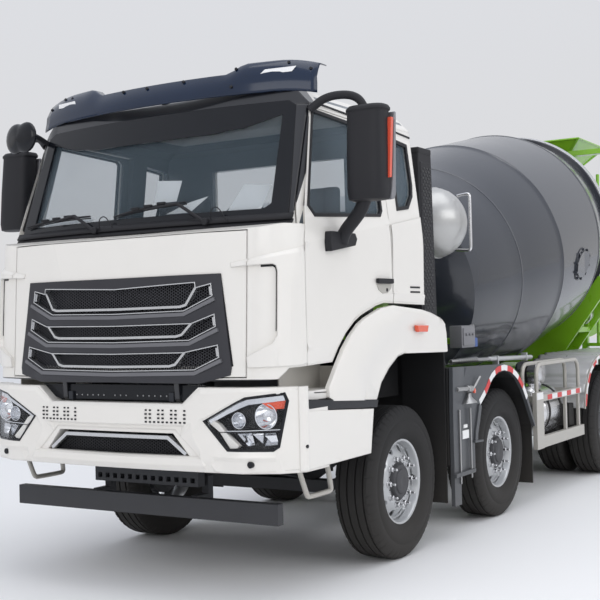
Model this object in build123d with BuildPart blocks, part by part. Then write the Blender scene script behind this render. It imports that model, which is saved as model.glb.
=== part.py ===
"""Concrete mixer truck on an 8x4 chassis with a low-roofed tilting cab.

Millimetres. +X is forward, +Y the truck's left side, +Z up, and the origin is on the ground under
the middle of the truck's outline. Outlines are drawn from the first axle, on the planes below.
"""

import os
from math import cos, radians, sin

from build123d import *

os.makedirs("parts", exist_ok=True)

# Driving dimensions
FRONT_AXLE_X = 3164.4
AXLES = {"1": 0, "2": -1800, "3": -4600, "4": -5950}  # from the first axle
HUB_Z = 525
TYRE_R = 525
RIM_R = 286
SINGLE_Y = 1010  # middle of a steered tyre
TWIN_Y = (735, 1085)  # middles of a twin pair
KINGPIN_Y = 885
KINGPIN_R = 25
SPINDLE_R = 35
FIT = 0.05  # radial clearance of a running shaft

RAIL_OUTER_Y = 430
RAIL_Z = (720, 1000)
RAIL_X = (1250, -6650)
TOW_PINS = [(1350, 530), (1350, -530), (-6740, 0)]
TOW_Z = 825
TOW_R = 20

CAB_WALL = 70
TILT_PIVOT = (1600, 1212)  # cab tilt pin, x and z
TILT_PIN_R = 20
CAB_HALF_WIDTH = 1190
CAB_REAR_X = -300
ROOF_JOINT_Z = 2985
GAP = 6  # shut line round a door or a lid
GLASS = 8
GLASS_INSET = 14

DRUM_TILT = 11.98
DRUM_CENTRE = (-3524, 0, 2231)  # middle of the seam between front cone and barrel
DRUM_R = 1156
DRUM_BARREL = 1200
DRUM_WALL = 20
MOUTH_R = 610
MOUTH_S = 2860  # mouth plane, along the drum's axis from the seam

CHUTE_X = -7010
CHUTE_SEAT_Z = 1550
CHUTE_PIN_Z = 1950
CHUTE_SLOPE = 24
CHUTE_R = 240
CHUTE_AHEAD = 150  # trough ahead of the tilt pin
CHUTE_LENGTH = 1000  # pin to the fold hinge
CHUTE_END_LENGTH = 620
FOLD_HINGE_UP = 6  # fold hinge above the trough's edges

SIDES = {"left": 1, "right": -1}

# Planes through the first axle's centre line on the ground
AXLE_1 = Plane(origin=(FRONT_AXLE_X, 0, 0))
SIDE = Plane(origin=(FRONT_AXLE_X, 0, 0), x_dir=(1, 0, 0), z_dir=(0, -1, 0))  # (x, z)
FRONT = Plane(origin=(FRONT_AXLE_X, 0, 0), x_dir=(0, 1, 0), z_dir=(1, 0, 0))  # (y, z)


def at(x, y, z):
    return Vector(FRONT_AXLE_X + x, y, z)


def finish(node, builder):
    builder.part.label = node
    export_step(builder.part, f"parts/{node}.step")


def shrunk(outline, inset):
    """The outline moved inward by inset, corner by corner."""
    corners = [Vector(x, y) for x, y in outline]
    area = sum(a.X * b.Y - b.X * a.Y for a, b in zip(corners, corners[1:] + corners[:1]))
    turn = 90 if area > 0 else -90
    moved = []
    for before, corner, after in zip(corners[-1:] + corners, corners, corners[1:] + corners[:1]):
        into = (corner - before).normalized().rotate(Axis.Z, turn)
        out_of = (after - corner).normalized().rotate(Axis.Z, turn)
        shift = (into + out_of) * (inset / (1 + into.dot(out_of)))
        moved.append((corner.X + shift.X, corner.Y + shift.Y))
    return moved


def block(x, y, z, mode=Mode.ADD):
    """A box; x, y and z are each a (low, high) pair."""
    with Locations(at(sum(x) / 2, sum(y) / 2, sum(z) / 2)):
        Box(abs(x[1] - x[0]), abs(y[1] - y[0]), abs(z[1] - z[0]), mode=mode)


def slab(outline, y, mode=Mode.ADD, inset=0):
    """A side-view outline of (x, z) points, from y[0] to y[1]."""
    with BuildSketch(SIDE.offset(-y[0])) as face:
        with BuildLine():
            Polyline(shrunk(outline, inset), close=True)
        make_face()
    extrude(face.sketch, amount=y[1] - y[0], dir=(0, 1, 0), mode=mode)


def beam(outline, x, mode=Mode.ADD, inset=0):
    """A front-view outline of (y, z) points, from x[0] to x[1]."""
    with BuildSketch(FRONT.offset(x[0])) as face:
        with BuildLine():
            Polyline(shrunk(outline, inset), close=True)
        make_face()
    extrude(face.sketch, amount=x[1] - x[0], dir=(1, 0, 0), mode=mode)


def plate(outline, z, mode=Mode.ADD):
    """A plan outline of (x, y) points, from z[0] to z[1]."""
    with BuildSketch(AXLE_1.offset(z[0])) as face:
        with BuildLine():
            Polyline(outline, close=True)
        make_face()
    extrude(face.sketch, amount=z[1] - z[0], mode=mode)


def rod(start, end, radius, mode=Mode.ADD):
    """A round bar between two points."""
    start, end = at(*start), at(*end)
    with BuildSketch(Plane(origin=start, z_dir=end - start)) as face:
        Circle(radius)
    extrude(face.sketch, amount=(end - start).length, mode=mode)


def tube(points, radius, bend):
    """A bent round tube through points, its corners rounded."""
    with BuildLine() as path:
        FilletPolyline(*[at(*p) for p in points], radius=bend)
    with BuildSketch(Plane(origin=path.line @ 0, z_dir=path.line % 0)) as face:
        Circle(radius)
    sweep(face.sketch, path=path.line)


def ring(plane, profile, mode=Mode.ADD):
    """A closed (along, radius) profile turned about the plane's x axis."""
    with BuildSketch(plane) as face:
        with BuildLine():
            Polyline(profile, close=True)
        make_face()
    revolve(face.sketch, axis=Axis(plane.origin, plane.x_dir), mode=mode)


# ---------------------------------------------------------------- chassis

# crossmembers: place along the frame, then lowest and highest points
CROSSMEMBERS = [(1130, 780, 940), (420, 669, 719), (-480, 669, 719), (-1150, 870, 960)] + [
    (x, 820, 940) for x in (-2080, -3000, -3850, -4600, -5275, -5950, -6600)
]

with BuildPart() as frame_rails:
    low, high = RAIL_Z
    for side in SIDES.values():
        outer, web, flange = side * RAIL_OUTER_Y, side * (RAIL_OUTER_Y - 10), side * (RAIL_OUTER_Y - 80)
        beam(
            [(outer, low), (outer, high), (flange, high), (flange, high - 10),
             (web, high - 10), (web, low + 10), (flange, low + 10), (flange, low)],
            RAIL_X,
        )
    # each member is a solid of its own, a hair clear of the rails
    for x, z_low, z_high in CROSSMEMBERS:
        block((x - 40, x + 40), (-RAIL_OUTER_Y + 11, RAIL_OUTER_Y - 11), (z_low, z_high))
    block((1251, 1300), (-575, 575), (760, 900))
    block((-6690, -6651), (-480, 480), (700, 1000))
    # arms out to the cab's tilt pins
    for side in SIDES.values():
        slab(
            [(1300, 800), (1300, 880), (1556, 1240), (1630, 1240), (1630, 1186), (1578, 1186), (1400, 880), (1400, 800)],
            (side * 425, side * 390),
        )
        tilt_x, tilt_z = TILT_PIVOT
        rod((tilt_x, side * 425, tilt_z), (tilt_x, side * 475, tilt_z), TILT_PIN_R)
    # towing lugs, each with an upright pin hole
    for x, y in TOW_PINS:
        block((x - 50, x + 50), (y - 45, y + 45), (TOW_Z - 30, TOW_Z + 30))
        with Locations(at(x, y, TOW_Z)):
            Cylinder(TOW_R, 100, mode=Mode.SUBTRACT)
finish("frame_rails", frame_rails)

with BuildPart() as axles:
    for name in ("1", "2"):
        x = AXLES[name]
        drop, eye = 60, KINGPIN_Y
        beam(
            [(-eye + 30, HUB_Z - 40), (-eye + 30, HUB_Z + 40), (-720, HUB_Z + 40), (-560, HUB_Z - drop + 40),
             (560, HUB_Z - drop + 40), (720, HUB_Z + 40), (eye - 30, HUB_Z + 40), (eye - 30, HUB_Z - 40),
             (700, HUB_Z - 40), (540, HUB_Z - drop - 50), (-540, HUB_Z - drop - 50), (-700, HUB_Z - 40)],
            (x - 45, x + 45),
        )
        for side in SIDES.values():
            with Locations(at(x, side * eye, HUB_Z)):
                Cylinder(36, 120)
                Cylinder(KINGPIN_R + FIT, 130, mode=Mode.SUBTRACT)
        rod((x - 170, -680, 450), (x - 170, 680, 450), 20)
        for side in SIDES.values():
            block((x - 180, x), (side * 606, side * 634), (440, 470))
    for name in ("3", "4"):
        x = AXLES[name]
        across = Plane(origin=at(x, 0, HUB_Z), x_dir=(0, 1, 0), z_dir=(1, 0, 0))
        ring(across, [(-950, 0), (-950, 50), (-560, 50), (-560, 75), (-180, 75), (-110, 205), (110, 205), (180, 75),
                      (560, 75), (560, 50), (950, 50), (950, 0)])
        block((x, x + 230), (-85, 85), (HUB_Z - 85, HUB_Z + 85))
finish("axles", axles)

with BuildPart() as leaf_springs:
    for name in ("1", "2"):
        x = AXLES[name]
        for side in SIDES.values():
            slab(
                [(x - 640, 650), (x - 640, 690), (x - 60, 585), (x + 60, 585), (x + 640, 690), (x + 640, 650),
                 (x + 60, HUB_Z - 20), (x - 60, HUB_Z - 20)],
                (side * 390 - 40, side * 390 + 40),
            )
            for end in (-640, 640):
                block((x + end - 30, x + end + 30), (side * 390 - 40, side * 390 + 40), (640, 720))
    middle = (AXLES["3"] + AXLES["4"]) / 2
    for side in SIDES.values():
        slab(
            [(middle - 700, 610), (middle - 700, 660), (middle - 80, 780), (middle + 80, 780), (middle + 700, 660),
             (middle + 700, 610), (middle + 80, 680), (middle - 80, 680)],
            (side * 482 - 45, side * 482 + 45),
        )
        block((middle - 120, middle + 120), (side * 482 - 48, side * 482 + 48), (560, 700))
finish("leaf_springs", leaf_springs)

with BuildPart() as powertrain:
    block((-350, 1080), (-330, 330), (730, 1300))
    for x in (-210, 890):
        block((x - 40, x + 40), (-RAIL_OUTER_Y + 10, RAIL_OUTER_Y - 10), (840, 880))
    block((-1080, -350), (-230, 230), (740, 1040))
    rod((-1080, 0, 800), (-4365, 0, 560), 60)
    rod((-4812, 0, 560), (-5715, 0, 560), 55)
finish("powertrain", powertrain)

with BuildPart() as radiator:
    block((1180, 1240), (-330, 330), (700, 1290))
    block((1330, 1400), (-420, 420), (640, 790))
    block((1300, 1335), (-400, 400), (770, 790))
    for column in range(-6, 7):
        for z in (678, 748):
            block((1320, 1410), (column * 63 - 17, column * 63 + 17), (z - 15, z + 15), mode=Mode.SUBTRACT)
finish("radiator", radiator)

# Bumper: plan curve of the outer face, heights and openings in front view
BUMPER_Z = (780, 1277)
BUMPER_DEEP = 90
LAMP = [(681, 1081), (956, 1217), (1155, 1241), (1168, 1197), (1126, 934), (1100, 914), (838, 914)]
INTAKE = [(-579, 861), (579, 861), (455, 1002), (-455, 1002)]
BUMPER_TOP_CUT = [(-900, 1400), (-650, 1285), (-525, 1180), (525, 1180), (650, 1285), (900, 1400)]


def bumper_body(inset=0, mode=Mode.ADD):
    """The bumper's outer form as a full block, or the same form inset by its wall."""
    with BuildSketch(AXLE_1.offset(BUMPER_Z[0])) as face:
        with BuildLine():
            outer = ThreePointArc((1650, -930), (1690, 0), (1650, 930))
            right = Polyline(outer @ 0, (1560, -1130), (1440, -1235), (1150, -1235))
            left = Polyline(outer @ 1, (1560, 1130), (1440, 1235), (1150, 1235))
            Line(right @ 1, left @ 1)
        make_face()
        if inset:
            offset(amount=-inset, kind=Kind.INTERSECTION, mode=Mode.REPLACE)
    extrude(face.sketch, amount=BUMPER_Z[1] - BUMPER_Z[0], mode=mode)


with BuildPart() as bumper_solid:
    bumper_body()
    bumper_body(BUMPER_DEEP, mode=Mode.SUBTRACT)
    beam(BUMPER_TOP_CUT, (1300, 1800), mode=Mode.SUBTRACT)
    slab([(1100, 1140), (1395, 1140), (1440, 1310), (1440, 1400), (1100, 1400)], (-1300, 1300), mode=Mode.SUBTRACT)
    slab([(1100, 700), (1400, 700), (1400, 1140), (1100, 1140)], (-1144, 1144), mode=Mode.SUBTRACT)
    slab([(1100, 700), (1180, 700), (1180, 1400), (1100, 1400)], (-1300, 1300), mode=Mode.SUBTRACT)

with BuildPart() as bumper:
    add(bumper_solid.part)
    beam(INTAKE, (1300, 1800), mode=Mode.SUBTRACT)
    for side in SIDES.values():
        beam([(side * y, z) for y, z in LAMP], (1420, 1800), mode=Mode.SUBTRACT)
        block((1300, 1597), (side * 480, side * 455), (800, 850))
finish("bumper", bumper)

with BuildPart() as lamp_prisms:
    for side in SIDES.values():
        beam([(side * y, z) for y, z in LAMP], (1420, 1800))

with BuildPart() as lamps:
    add(bumper_solid.part)
    add(lamp_prisms.part, mode=Mode.INTERSECT)
    for side in SIDES.values():
        block((-6730, -6690), (side * 1150, side * 800), (560, 680))
finish("lamps", lamps)

with BuildPart() as underrun_bars:
    block((1410, 1470), (-1049, 1049), (459, 584))
    for side in SIDES.values():
        block((1250, 1415), (side * 400 - 25, side * 400 + 25), (470, 590))
        block((1250, 1300), (side * 400 - 25, side * 400 + 25), (470, 700))
    block((-6690, -6630), (-1180, 1180), (440, 550))
    for side in SIDES.values():
        block((-6690, -6640), (side * 450 - 25, side * 450 + 25), (450, 700))
        block((-6690, -6650), (side * 1150, side * 800), (550, 690))
finish("underrun_bars", underrun_bars)

# Front fenders: outer edge against the cab, inner edge round the wheel
FENDER_OUT = [(1140, 1245), (1030, 1372), (940, 1472), (850, 1548), (735, 1620), (645, 1660), (430, 1721), (262, 1740),
              (-183, 1708), (-341, 1684), (-486, 1648), (-567, 1592), (-603, 1404)]
FENDER_IN = [(-560, 1404), (-500, 1412), (125, 1412), (388, 1304), (534, 1141), (600, 1030), (630, 780), (1174, 780),
             (1174, 1130), (1140, 1130)]

with BuildPart() as front_fenders:
    for side in SIDES.values():
        slab(FENDER_OUT + FENDER_IN, (side * 1235, side * 1195))
        slab([(-590, 1404), (-560, 1404), (-500, 1432), (125, 1432), (400, 1320), (548, 1160), (614, 1045),
              (652, 780), (672, 780), (634, 1050), (566, 1172), (412, 1338), (130, 1452), (-520, 1452),
              (-590, 1430)],
             (side * 1195, side * 800))
        block((-606, -585), (side * 1190, side * 840), (1404, 1430))
        block((-430, -390), (side * 800, side * 430), (1412, 1432))
        block((-430, -390), (side * 470, side * 430), (900, 1432))
finish("front_fenders", front_fenders)

with BuildPart() as entry_steps:
    for side in SIDES.values():
        block((930, 1385), (side * 1190, side * 1010), (1190, 1240))
        block((770, 1390), (side * 1140, side * 1010), (785, 815))
        block((960, 1040), (side * 1060, side * 1010), (815, 1190))
        block((960, 1040), (side * 1010, side * 430), (785, 830))
        tube([(1340, side * 1110, 790), (1250, side * 1110, 600), (960, side * 1110, 600), (1010, side * 1110, 790)],
             18, 60)
finish("entry_steps", entry_steps)

# Dark panel with the arch over the second axle, and its inner arch
with BuildPart() as second_fenders:
    for side in SIDES.values():
        slab([(-640, 250), (-640, 900), (-500, 1100), (-500, 1295), (-1500, 1300), (-1756, 1262), (-2010, 1175),
              (-2225, 960), (-2400, 690), (-2380, 680), (-2180, 935), (-1975, 1115), (-1756, 1190),
              (-1500, 1160), (-1290, 1030), (-1150, 870), (-1120, 700), (-1120, 470), (-760, 470), (-760, 250)],
             (side * 1235, side * 1200))
        slab([(-1136, 878), (-1278, 1044), (-1494, 1176), (-1756, 1207), (-2000, 1142), (-2250, 950), (-2412, 705),
              (-2412, 640), (-2398, 640), (-2398, 700), (-2238, 938), (-1990, 1124), (-1756, 1190), (-1500, 1160),
              (-1290, 1030), (-1150, 870)],
             (side * 1200, side * 820))
        block((-760, -640), (side * 1200, side * 830), (560, 1290))
        block((-740, -700), (side * 830, side * 430), (900, 940))
        block((-1400, -1360), (side * 820, side * 480), (1085, 1115))
        block((-1400, -1360), (side * 520, side * 480), (900, 1115))
        block((-1400, -1360), (side * 520, side * 430), (900, 940))
finish("second_fenders", second_fenders)

with BuildPart() as mud_flaps:
    for side in SIDES.values():
        block((-618, -606), (side * 1190, side * 840), (285, 1404))
        block((-2424, -2412), (side * 1190, side * 830), (185, 700))
        block((-6612, -6600), (side * 1235, side * 600), (330, 770))
finish("mud_flaps", mud_flaps)

with BuildPart() as side_tanks:
    for side in SIDES.values():
        rod((-3000, side * 870, 745), (-3620, side * 870, 745), 240)
        rod((-3350, side * 720, 1090), (-3350, side * 980, 1090), 120)
        block((-3180, -3120), (side * 700, side * 430), (700, 800))
        block((-3500, -3440), (side * 700, side * 430), (700, 800))
        block((-3380, -3320), (side * 740, side * 860), (960, 1000))
finish("side_tanks", side_tanks)

with BuildPart() as side_guards:
    for side in SIDES.values():
        block((-2650, -2470), (side * 1225, side * 1185), (465, 967))
        block((-3800, -2650), (side * 1225, side * 1185), (470, 570))
        block((-3740, -2650), (side * 1225, side * 1195), (880, 939))
        for x in (-3300, -3690):
            block((x - 20, x + 20), (side * 1215, side * 1190), (500, 930))
        for y in (1190, 1060):
            tube([(-2570, side * y, 920), (-2570, side * y, 1210), (-3750, side * y, 1210), (-3750, side * y, 920)],
                 18, 110)
        block((-2600, -2540), (side * 1185, side * 430), (880, 930))
        block((-3750, -3700), (side * 1185, side * 430), (880, 930))
finish("side_guards", side_guards)

REAR_ARCH = [(-3800, 725), (-3850, 905), (-3990, 1090), (-4250, 1215), (-4500, 1245), (-6100, 1245), (-6330, 1190),
             (-6520, 1020), (-6600, 760), (-6600, 700)]

with BuildPart() as rear_fenders:
    for side in SIDES.values():
        inner = [(x + (12 if x < -5000 else -12), z - 12) for x, z in REAR_ARCH]
        slab(REAR_ARCH + inner[::-1], (side * 1245, side * 590))
        for x in (-3900, -5275, -6420):
            block((x - 20, x + 20), (side * 600, side * 430), (900, 940))
            block((x - 20, x + 20), (side * 640, side * 600), (900, 1080 if x != -5275 else 1235))
finish("rear_fenders", rear_fenders)

# ---------------------------------------------------------------- mixer

DRUM = Plane(
    origin=at(*DRUM_CENTRE),
    x_dir=(-cos(radians(DRUM_TILT)), 0, sin(radians(DRUM_TILT))),
    z_dir=(0, 1, 0),
)
# along the axis from the seam, rearward and up; then radius
DRUM_OUT = [(-1830, 0), (-1830, 230), (-1770, 230), (-1740, 420), (-1660, 690), (-1560, 872), (0, DRUM_R),
            (DRUM_BARREL, DRUM_R), (1800, 1030), (1850, 1075), (1960, 1075), (2010, 985), (MOUTH_S, MOUTH_R + 10)]
DRUM_IN = [(MOUTH_S, MOUTH_R - 10), (1990, 965), (DRUM_BARREL - 4, DRUM_R - DRUM_WALL), (4, DRUM_R - DRUM_WALL),
           (-1546, 856), (-1640, 680), (-1720, 415), (-1750, 0)]

with BuildPart() as drum:
    ring(DRUM, DRUM_OUT + DRUM_IN)
finish("drum", drum)

with BuildPart() as drum_mounts:
    ring(DRUM, [(-2260, 0), (-2260, 200), (-1950, 240), (-1900, 240), (-1836, 150), (-1836, 0)])
    ring(DRUM, [(-2420, 0), (-2420, 110), (-2260, 110), (-2260, 0)])
    for side in SIDES.values():
        for turn in (34,):
            y = side * (1075 + 133) * sin(radians(turn))
            up = -(1075 + 133) * cos(radians(turn))
            with Locations(DRUM.location * Location((1905, up, y))):
                Cylinder(125, 100, rotation=(0, 90, 0))
                Cylinder(40, 220, rotation=(0, 90, 0))
        block((-5740, -5310), (side * 640, side * 720), (1440, 1500))
        block((-5710, -5685), (side * 640, side * 720), (1500, 1680))
        block((-5505, -5480), (side * 640, side * 720), (1500, 1710))
    block((-1620, -1370), (-150, 150), (1560, 1700))
finish("drum_mounts", drum_mounts)

with BuildPart() as mixer_frame:
    for side in SIDES.values():
        block((-6600, -1150), (side * 470, side * 360), (1000, 1110))
        slab([(-1250, 1110), (-1760, 1110), (-1640, 1560), (-1330, 1560)], (side * 400, side * 360))
    block((-1640, -1330), (-400, 400), (1480, 1560))
finish("mixer_frame", mixer_frame)

with BuildPart() as rear_frame:
    # cradle under the drum's ring
    for x in (-5290, -5760):
        beam([(-470, 1110), (470, 1110), (1000, 1830), (1000, 2060), (965, 2060), (650, 1640), (330, 1430),
              (-330, 1430), (-650, 1640), (-965, 2060), (-1000, 2060), (-1000, 1830)], (x - 20, x + 20))
    for side in SIDES.values():
        block((-5780, -5270), (side * 480, side * 440), (1110, 1180))
        block((-5780, -5270), (side * 960, side * 1000), (1860, 2060))
        # posts that carry the hopper and the funnel
        slab([(-5600, 1900), (-5780, 1900), (-6240, 3600), (-6120, 3600)], (side * 1000, side * 930))
        block((-6240, -6120), (side * 1000, side * 600), (3540, 3600))
        slab([(-6430, 1110), (-6500, 1110), (-6520, 2500), (-6450, 2500)], (side * 470, side * 400))
        block((-6530, -6450), (side * 1000, side * 400), (2440, 2500))
        block((-6480, -5830), (side * 1000, side * 940), (2440, 2500))
    # ladder and platform on the left
    for y in (600, 960):
        rod((-6440, y, 1290), (-6600, y, 3350), 20)
    for step in range(7):
        z = 1400 + 280 * step
        x = -6440 - 160 * (z - 1290) / 2060
        rod((x, 600, z), (x, 960, z), 16)
    block((-6520, -6420), (470, 980), (1250, 1290))
    block((-6620, -6480), (560, 1000), (2470, 2500))
finish("rear_frame", rear_frame)

with BuildPart() as chute_stand:
    block((-6415, -6200), (-400, 400), (1110, 1150))
    for side in SIDES.values():
        slab([(-6200, 1110), (-6415, 1110), (-6850, 1470), (-6850, 1540), (-6800, 1540)], (side * 300, side * 250))
    plate([(CHUTE_X, -120), (-6880, -150), (-6850, -300), (-6800, -300), (-6800, 300), (-6850, 300), (-6880, 150),
           (CHUTE_X, 120)], (CHUTE_SEAT_Z - 80, CHUTE_SEAT_Z - 10))
    with Locations(at(CHUTE_X, 0, CHUTE_SEAT_Z - 40)):
        Cylinder(110, 80)
finish("chute_stand", chute_stand)

with BuildPart() as hopper:
    wall = 8
    for inset, mode in ((0, Mode.ADD), (wall, Mode.SUBTRACT)):
        with BuildSketch(AXLE_1.offset(3740 + inset)) as rim:
            with Locations((-6535, 0)):
                Rectangle(1050 - 2 * inset, 1120 - 2 * inset)
        with BuildSketch(AXLE_1.offset(3470 - inset)) as neck:
            with Locations((-6565, 0)):
                Rectangle(590 - 2 * inset, 560 - 2 * inset)
        loft(sections=[rim.sketch, neck.sketch], mode=mode)
    throat = [(-6270, 3480), (-6860, 3480), (-6560, 2900), (-6180, 2760)]
    slab(throat, (-280, 280))
    slab([(-6278, 3500), (-6850, 3500), (-6548, 2880), (-6150, 2700)], (-272, 272), mode=Mode.SUBTRACT)
    # collecting funnel under the mouth
    for side in SIDES.values():
        beam([(side * 560, 2480), (side * 548, 2480), (side * 208, 2065), (side * 220, 2065)], (-7140, -6530))
        block((-6240, -6120), (side * 600, side * 384), (3540, 3600))
    slab([(-6530, 2480), (-6540, 2480), (-6910, 2065), (-6900, 2065)], (-215, 215))
    slab([(-7140, 2480), (-7130, 2480), (-7130, 2065), (-7140, 2065)], (-215, 215))
finish("hopper", hopper)

with BuildPart() as water_tank:
    rod((-1140, -880, 2400), (-1140, 880, 2400), 280)
    for side in SIDES.values():
        with Locations(at(-1140, side * 880, 2400)):
            Sphere(280)
    block((-2000, -300), (-1001, -980), (2000, 2800), mode=Mode.SUBTRACT)
    block((-2000, -300), (1001, 980), (2000, 2800), mode=Mode.SUBTRACT)
    # legs, a hair clear of the tank
    with BuildPart() as legs:
        for side in SIDES.values():
            slab([(-1000, 1110), (-1100, 1110), (-1180, 2200), (-1080, 2200)], (side * 470, side * 390))
        rod((-1140, -600, 2400), (-1140, 600, 2400), 281, mode=Mode.SUBTRACT)
    for side in SIDES.values():
        block((-1640, -1370), (side * 1010, side * 900), (1400, 1580))
        block((-1520, -1480), (side * 900, side * 470), (1430, 1480))
        block((-1520, -1480), (side * 470, side * 400), (1110, 1480))
        block((-1100, -1000), (side * 470, side * 360), (1000, 1110))
finish("water_tank", water_tank)

with BuildPart() as air_intake:
    slab([(-440, 1640), (-700, 1640), (-660, 2900), (-440, 2900)], (900, 1110))
    block((-700, -440), (430, 1110), (1560, 1640))
    block((-660, -480), (430, 480), (960, 1600))
finish("air_intake", air_intake)

# ---------------------------------------------------------------- cab

# side view of the cab's middle, from the rear sill forwards and round over the roof
CAB_SIDE = [(CAB_REAR_X, 1745), (330, 1760), (440, 1742), (652, 1682), (744, 1642), (862, 1568), (952, 1488),
            (1034, 1398), (1480, 1385), (1540, 1318),
            (1690, 1310), (1614, 2190), (1475, 2228), (1215, 3010), (1120, 3110), (900, 3185), (0, 3165),
            (CAB_REAR_X, 3080)]
COWL_Z = 2228
CAB_SECTION = [(-CAB_HALF_WIDTH, 1200), (-CAB_HALF_WIDTH, 2200), (-1098, 3000), (-1010, 3095), (-500, 3180),
               (500, 3180), (1010, 3095), (1098, 3000), (CAB_HALF_WIDTH, 2200), (CAB_HALF_WIDTH, 1200)]


def cab_plan(z, front_x, inset):
    """Plan section at a height: a bowed front, rounded front corners, square at the rear."""
    with BuildSketch(AXLE_1.offset(z)) as face:
        with BuildLine():
            corner_y, corner_x = 975 - inset / 2, front_x - 95 - inset
            turn_y, turn_x = 1115 - 0.7 * inset, front_x - 150 - 0.7 * inset
            side_y, side_x = CAB_HALF_WIDTH - inset, front_x - 300
            rear_x = CAB_REAR_X + inset
            bow = ThreePointArc((corner_x, -corner_y), (front_x - inset, 0), (corner_x, corner_y))
            left = ThreePointArc(bow @ 1, (turn_x, turn_y), (side_x, side_y))
            right = ThreePointArc(bow @ 0, (turn_x, -turn_y), (side_x, -side_y))
            Polyline(left @ 1, (rear_x, side_y), (rear_x, -side_y), right @ 1)
        make_face()
    return face.sketch


def cab_volume(inset=0):
    """The cab's outer form, or the same form inset by a wall."""
    with BuildPart() as body:
        ledge = COWL_Z - inset
        loft(sections=[cab_plan(1250, 1692, inset), cab_plan(ledge, 1641, inset)], ruled=True)
        loft(sections=[cab_plan(ledge, 1480, inset), cab_plan(3300, 1117, inset)], ruled=True)
        slab(CAB_SIDE, (-1300, 1300), mode=Mode.INTERSECT, inset=inset)
        beam(CAB_SECTION, (-500, 1800), mode=Mode.INTERSECT, inset=inset)
    return body.part


# the doorway; it and the door both run on below the cab's underside
DOOR = [(1335, 1340), (1335, 2130), (1300, 2330), (1092, 2975), (215, 2950), (200, 2403), (183, 1700), (330, 1700),
        (640, 1600), (960, 1340)]
# the door itself leaves a wider gap at its rear edge, which swings past the pillar
DOOR_PANEL = [(1335, 1340), (1335, 2130), (1300, 2330), (1092, 2975), (224, 2950), (206, 2403), (189, 1700), (330, 1700),
              (640, 1600), (960, 1340)]
DOOR_WALL = 46
DOOR_DEPTH = 60  # how far the door's edges reach in from the cab's side
DOOR_WINDOW = [(1255, 2345), (1190, 2290), (330, 2345), (300, 2380), (300, 2895), (330, 2920), (1062, 2950)]
QUARTER_WINDOW = [(48, 2408), (-119, 2431), (-205, 2520), (-225, 2600), (-220, 2880), (42, 2902)]
SCREEN = [(-985, 2305), (985, 2305), (960, 2978), (-960, 2978)]
FLAP = [(-940, 1330), (940, 1330), (940, 2198), (-940, 2198)]
FLAP_HOLE = [(-940, 1400), (940, 1400), (940, 2198), (-940, 2198)]
# one of the grille's three windows, right half
GRILLE_WINDOW = [(606, 1890), (713, 1888), (723, 1816), (532, 1731)]
GRILLE_ROW = 175
GRILLE = [(-773, 1941), (773, 1941), (856, 1400), (700, 1345), (-700, 1345), (-856, 1400)]

cab_outer = cab_volume()
cab_inner = cab_volume(CAB_WALL)

with BuildPart() as cab_skin:
    add(cab_outer)
    add(cab_inner, mode=Mode.SUBTRACT)

with BuildPart() as glass_skin:
    add(cab_volume(GLASS_INSET))
    add(cab_volume(GLASS_INSET + GLASS), mode=Mode.SUBTRACT)

with BuildPart() as flap_space:
    add(cab_outer)
    add(cab_volume(46), mode=Mode.SUBTRACT)
    beam(FLAP, (1400, 1800), mode=Mode.INTERSECT)

with BuildPart() as door_space:
    for side in SIDES.values():
        slab(DOOR, (side * 950, side * 1300))
    beam(CAB_SECTION, (-500, 1800), mode=Mode.SUBTRACT, inset=CAB_WALL + 2)

with BuildPart() as cab_shell:
    add(cab_skin.part)
    block((-1000, 2000), (-1400, 1400), (ROOF_JOINT_Z, 3400), mode=Mode.SUBTRACT)
    add(door_space.part, mode=Mode.SUBTRACT)
    for side in SIDES.values():
        slab(QUARTER_WINDOW, (side * 950, side * 1300), mode=Mode.SUBTRACT)
    beam(SCREEN, (1000, 1800), mode=Mode.SUBTRACT)
    beam([(-600, 2450), (600, 2450), (600, 2850), (-600, 2850)], (CAB_REAR_X - 50, 0), mode=Mode.SUBTRACT)
    add(flap_space.part, mode=Mode.SUBTRACT)
    beam(FLAP_HOLE, (1440, 1800), mode=Mode.SUBTRACT)
    tilt_x, tilt_z = TILT_PIVOT
    for side in SIDES.values():
        slab([(1540, 1330), (1640, 1330), (1628, 1200), (1612, 1184), (1588, 1184), (1572, 1200)],
             (side * 435, side * 470))
    with Locations(Plane(origin=at(tilt_x, 0, tilt_z), z_dir=(0, 1, 0))):
        Cylinder(TILT_PIN_R + FIT, 1000, mode=Mode.SUBTRACT)
finish("cab_shell", cab_shell)

with BuildPart() as cab_roof:
    add(cab_skin.part)
    block((-1000, 2000), (-1400, 1400), (ROOF_JOINT_Z, 3400), mode=Mode.INTERSECT)
finish("cab_roof", cab_roof)


with BuildPart() as pane_prisms:
    beam(SCREEN, (1000, 1800))
    beam([(-600, 2450), (600, 2450), (600, 2850), (-600, 2850)], (CAB_REAR_X - 50, 0))
    for side in SIDES.values():
        slab(QUARTER_WINDOW, (side * 950, side * 1300))

with BuildPart() as cab_glass:
    add(glass_skin.part)
    add(pane_prisms.part, mode=Mode.INTERSECT)
finish("cab_glass", cab_glass)

# front view of the visor: a low middle and raised ends
VISOR = [(0, 3075), (1000, 3075), (1143, 3090), (1143, 3190), (1110, 3260), (1060, 3292), (840, 3300), (670, 3300),
         (620, 3285), (560, 3245), (500, 3236), (0, 3236)]

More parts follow.
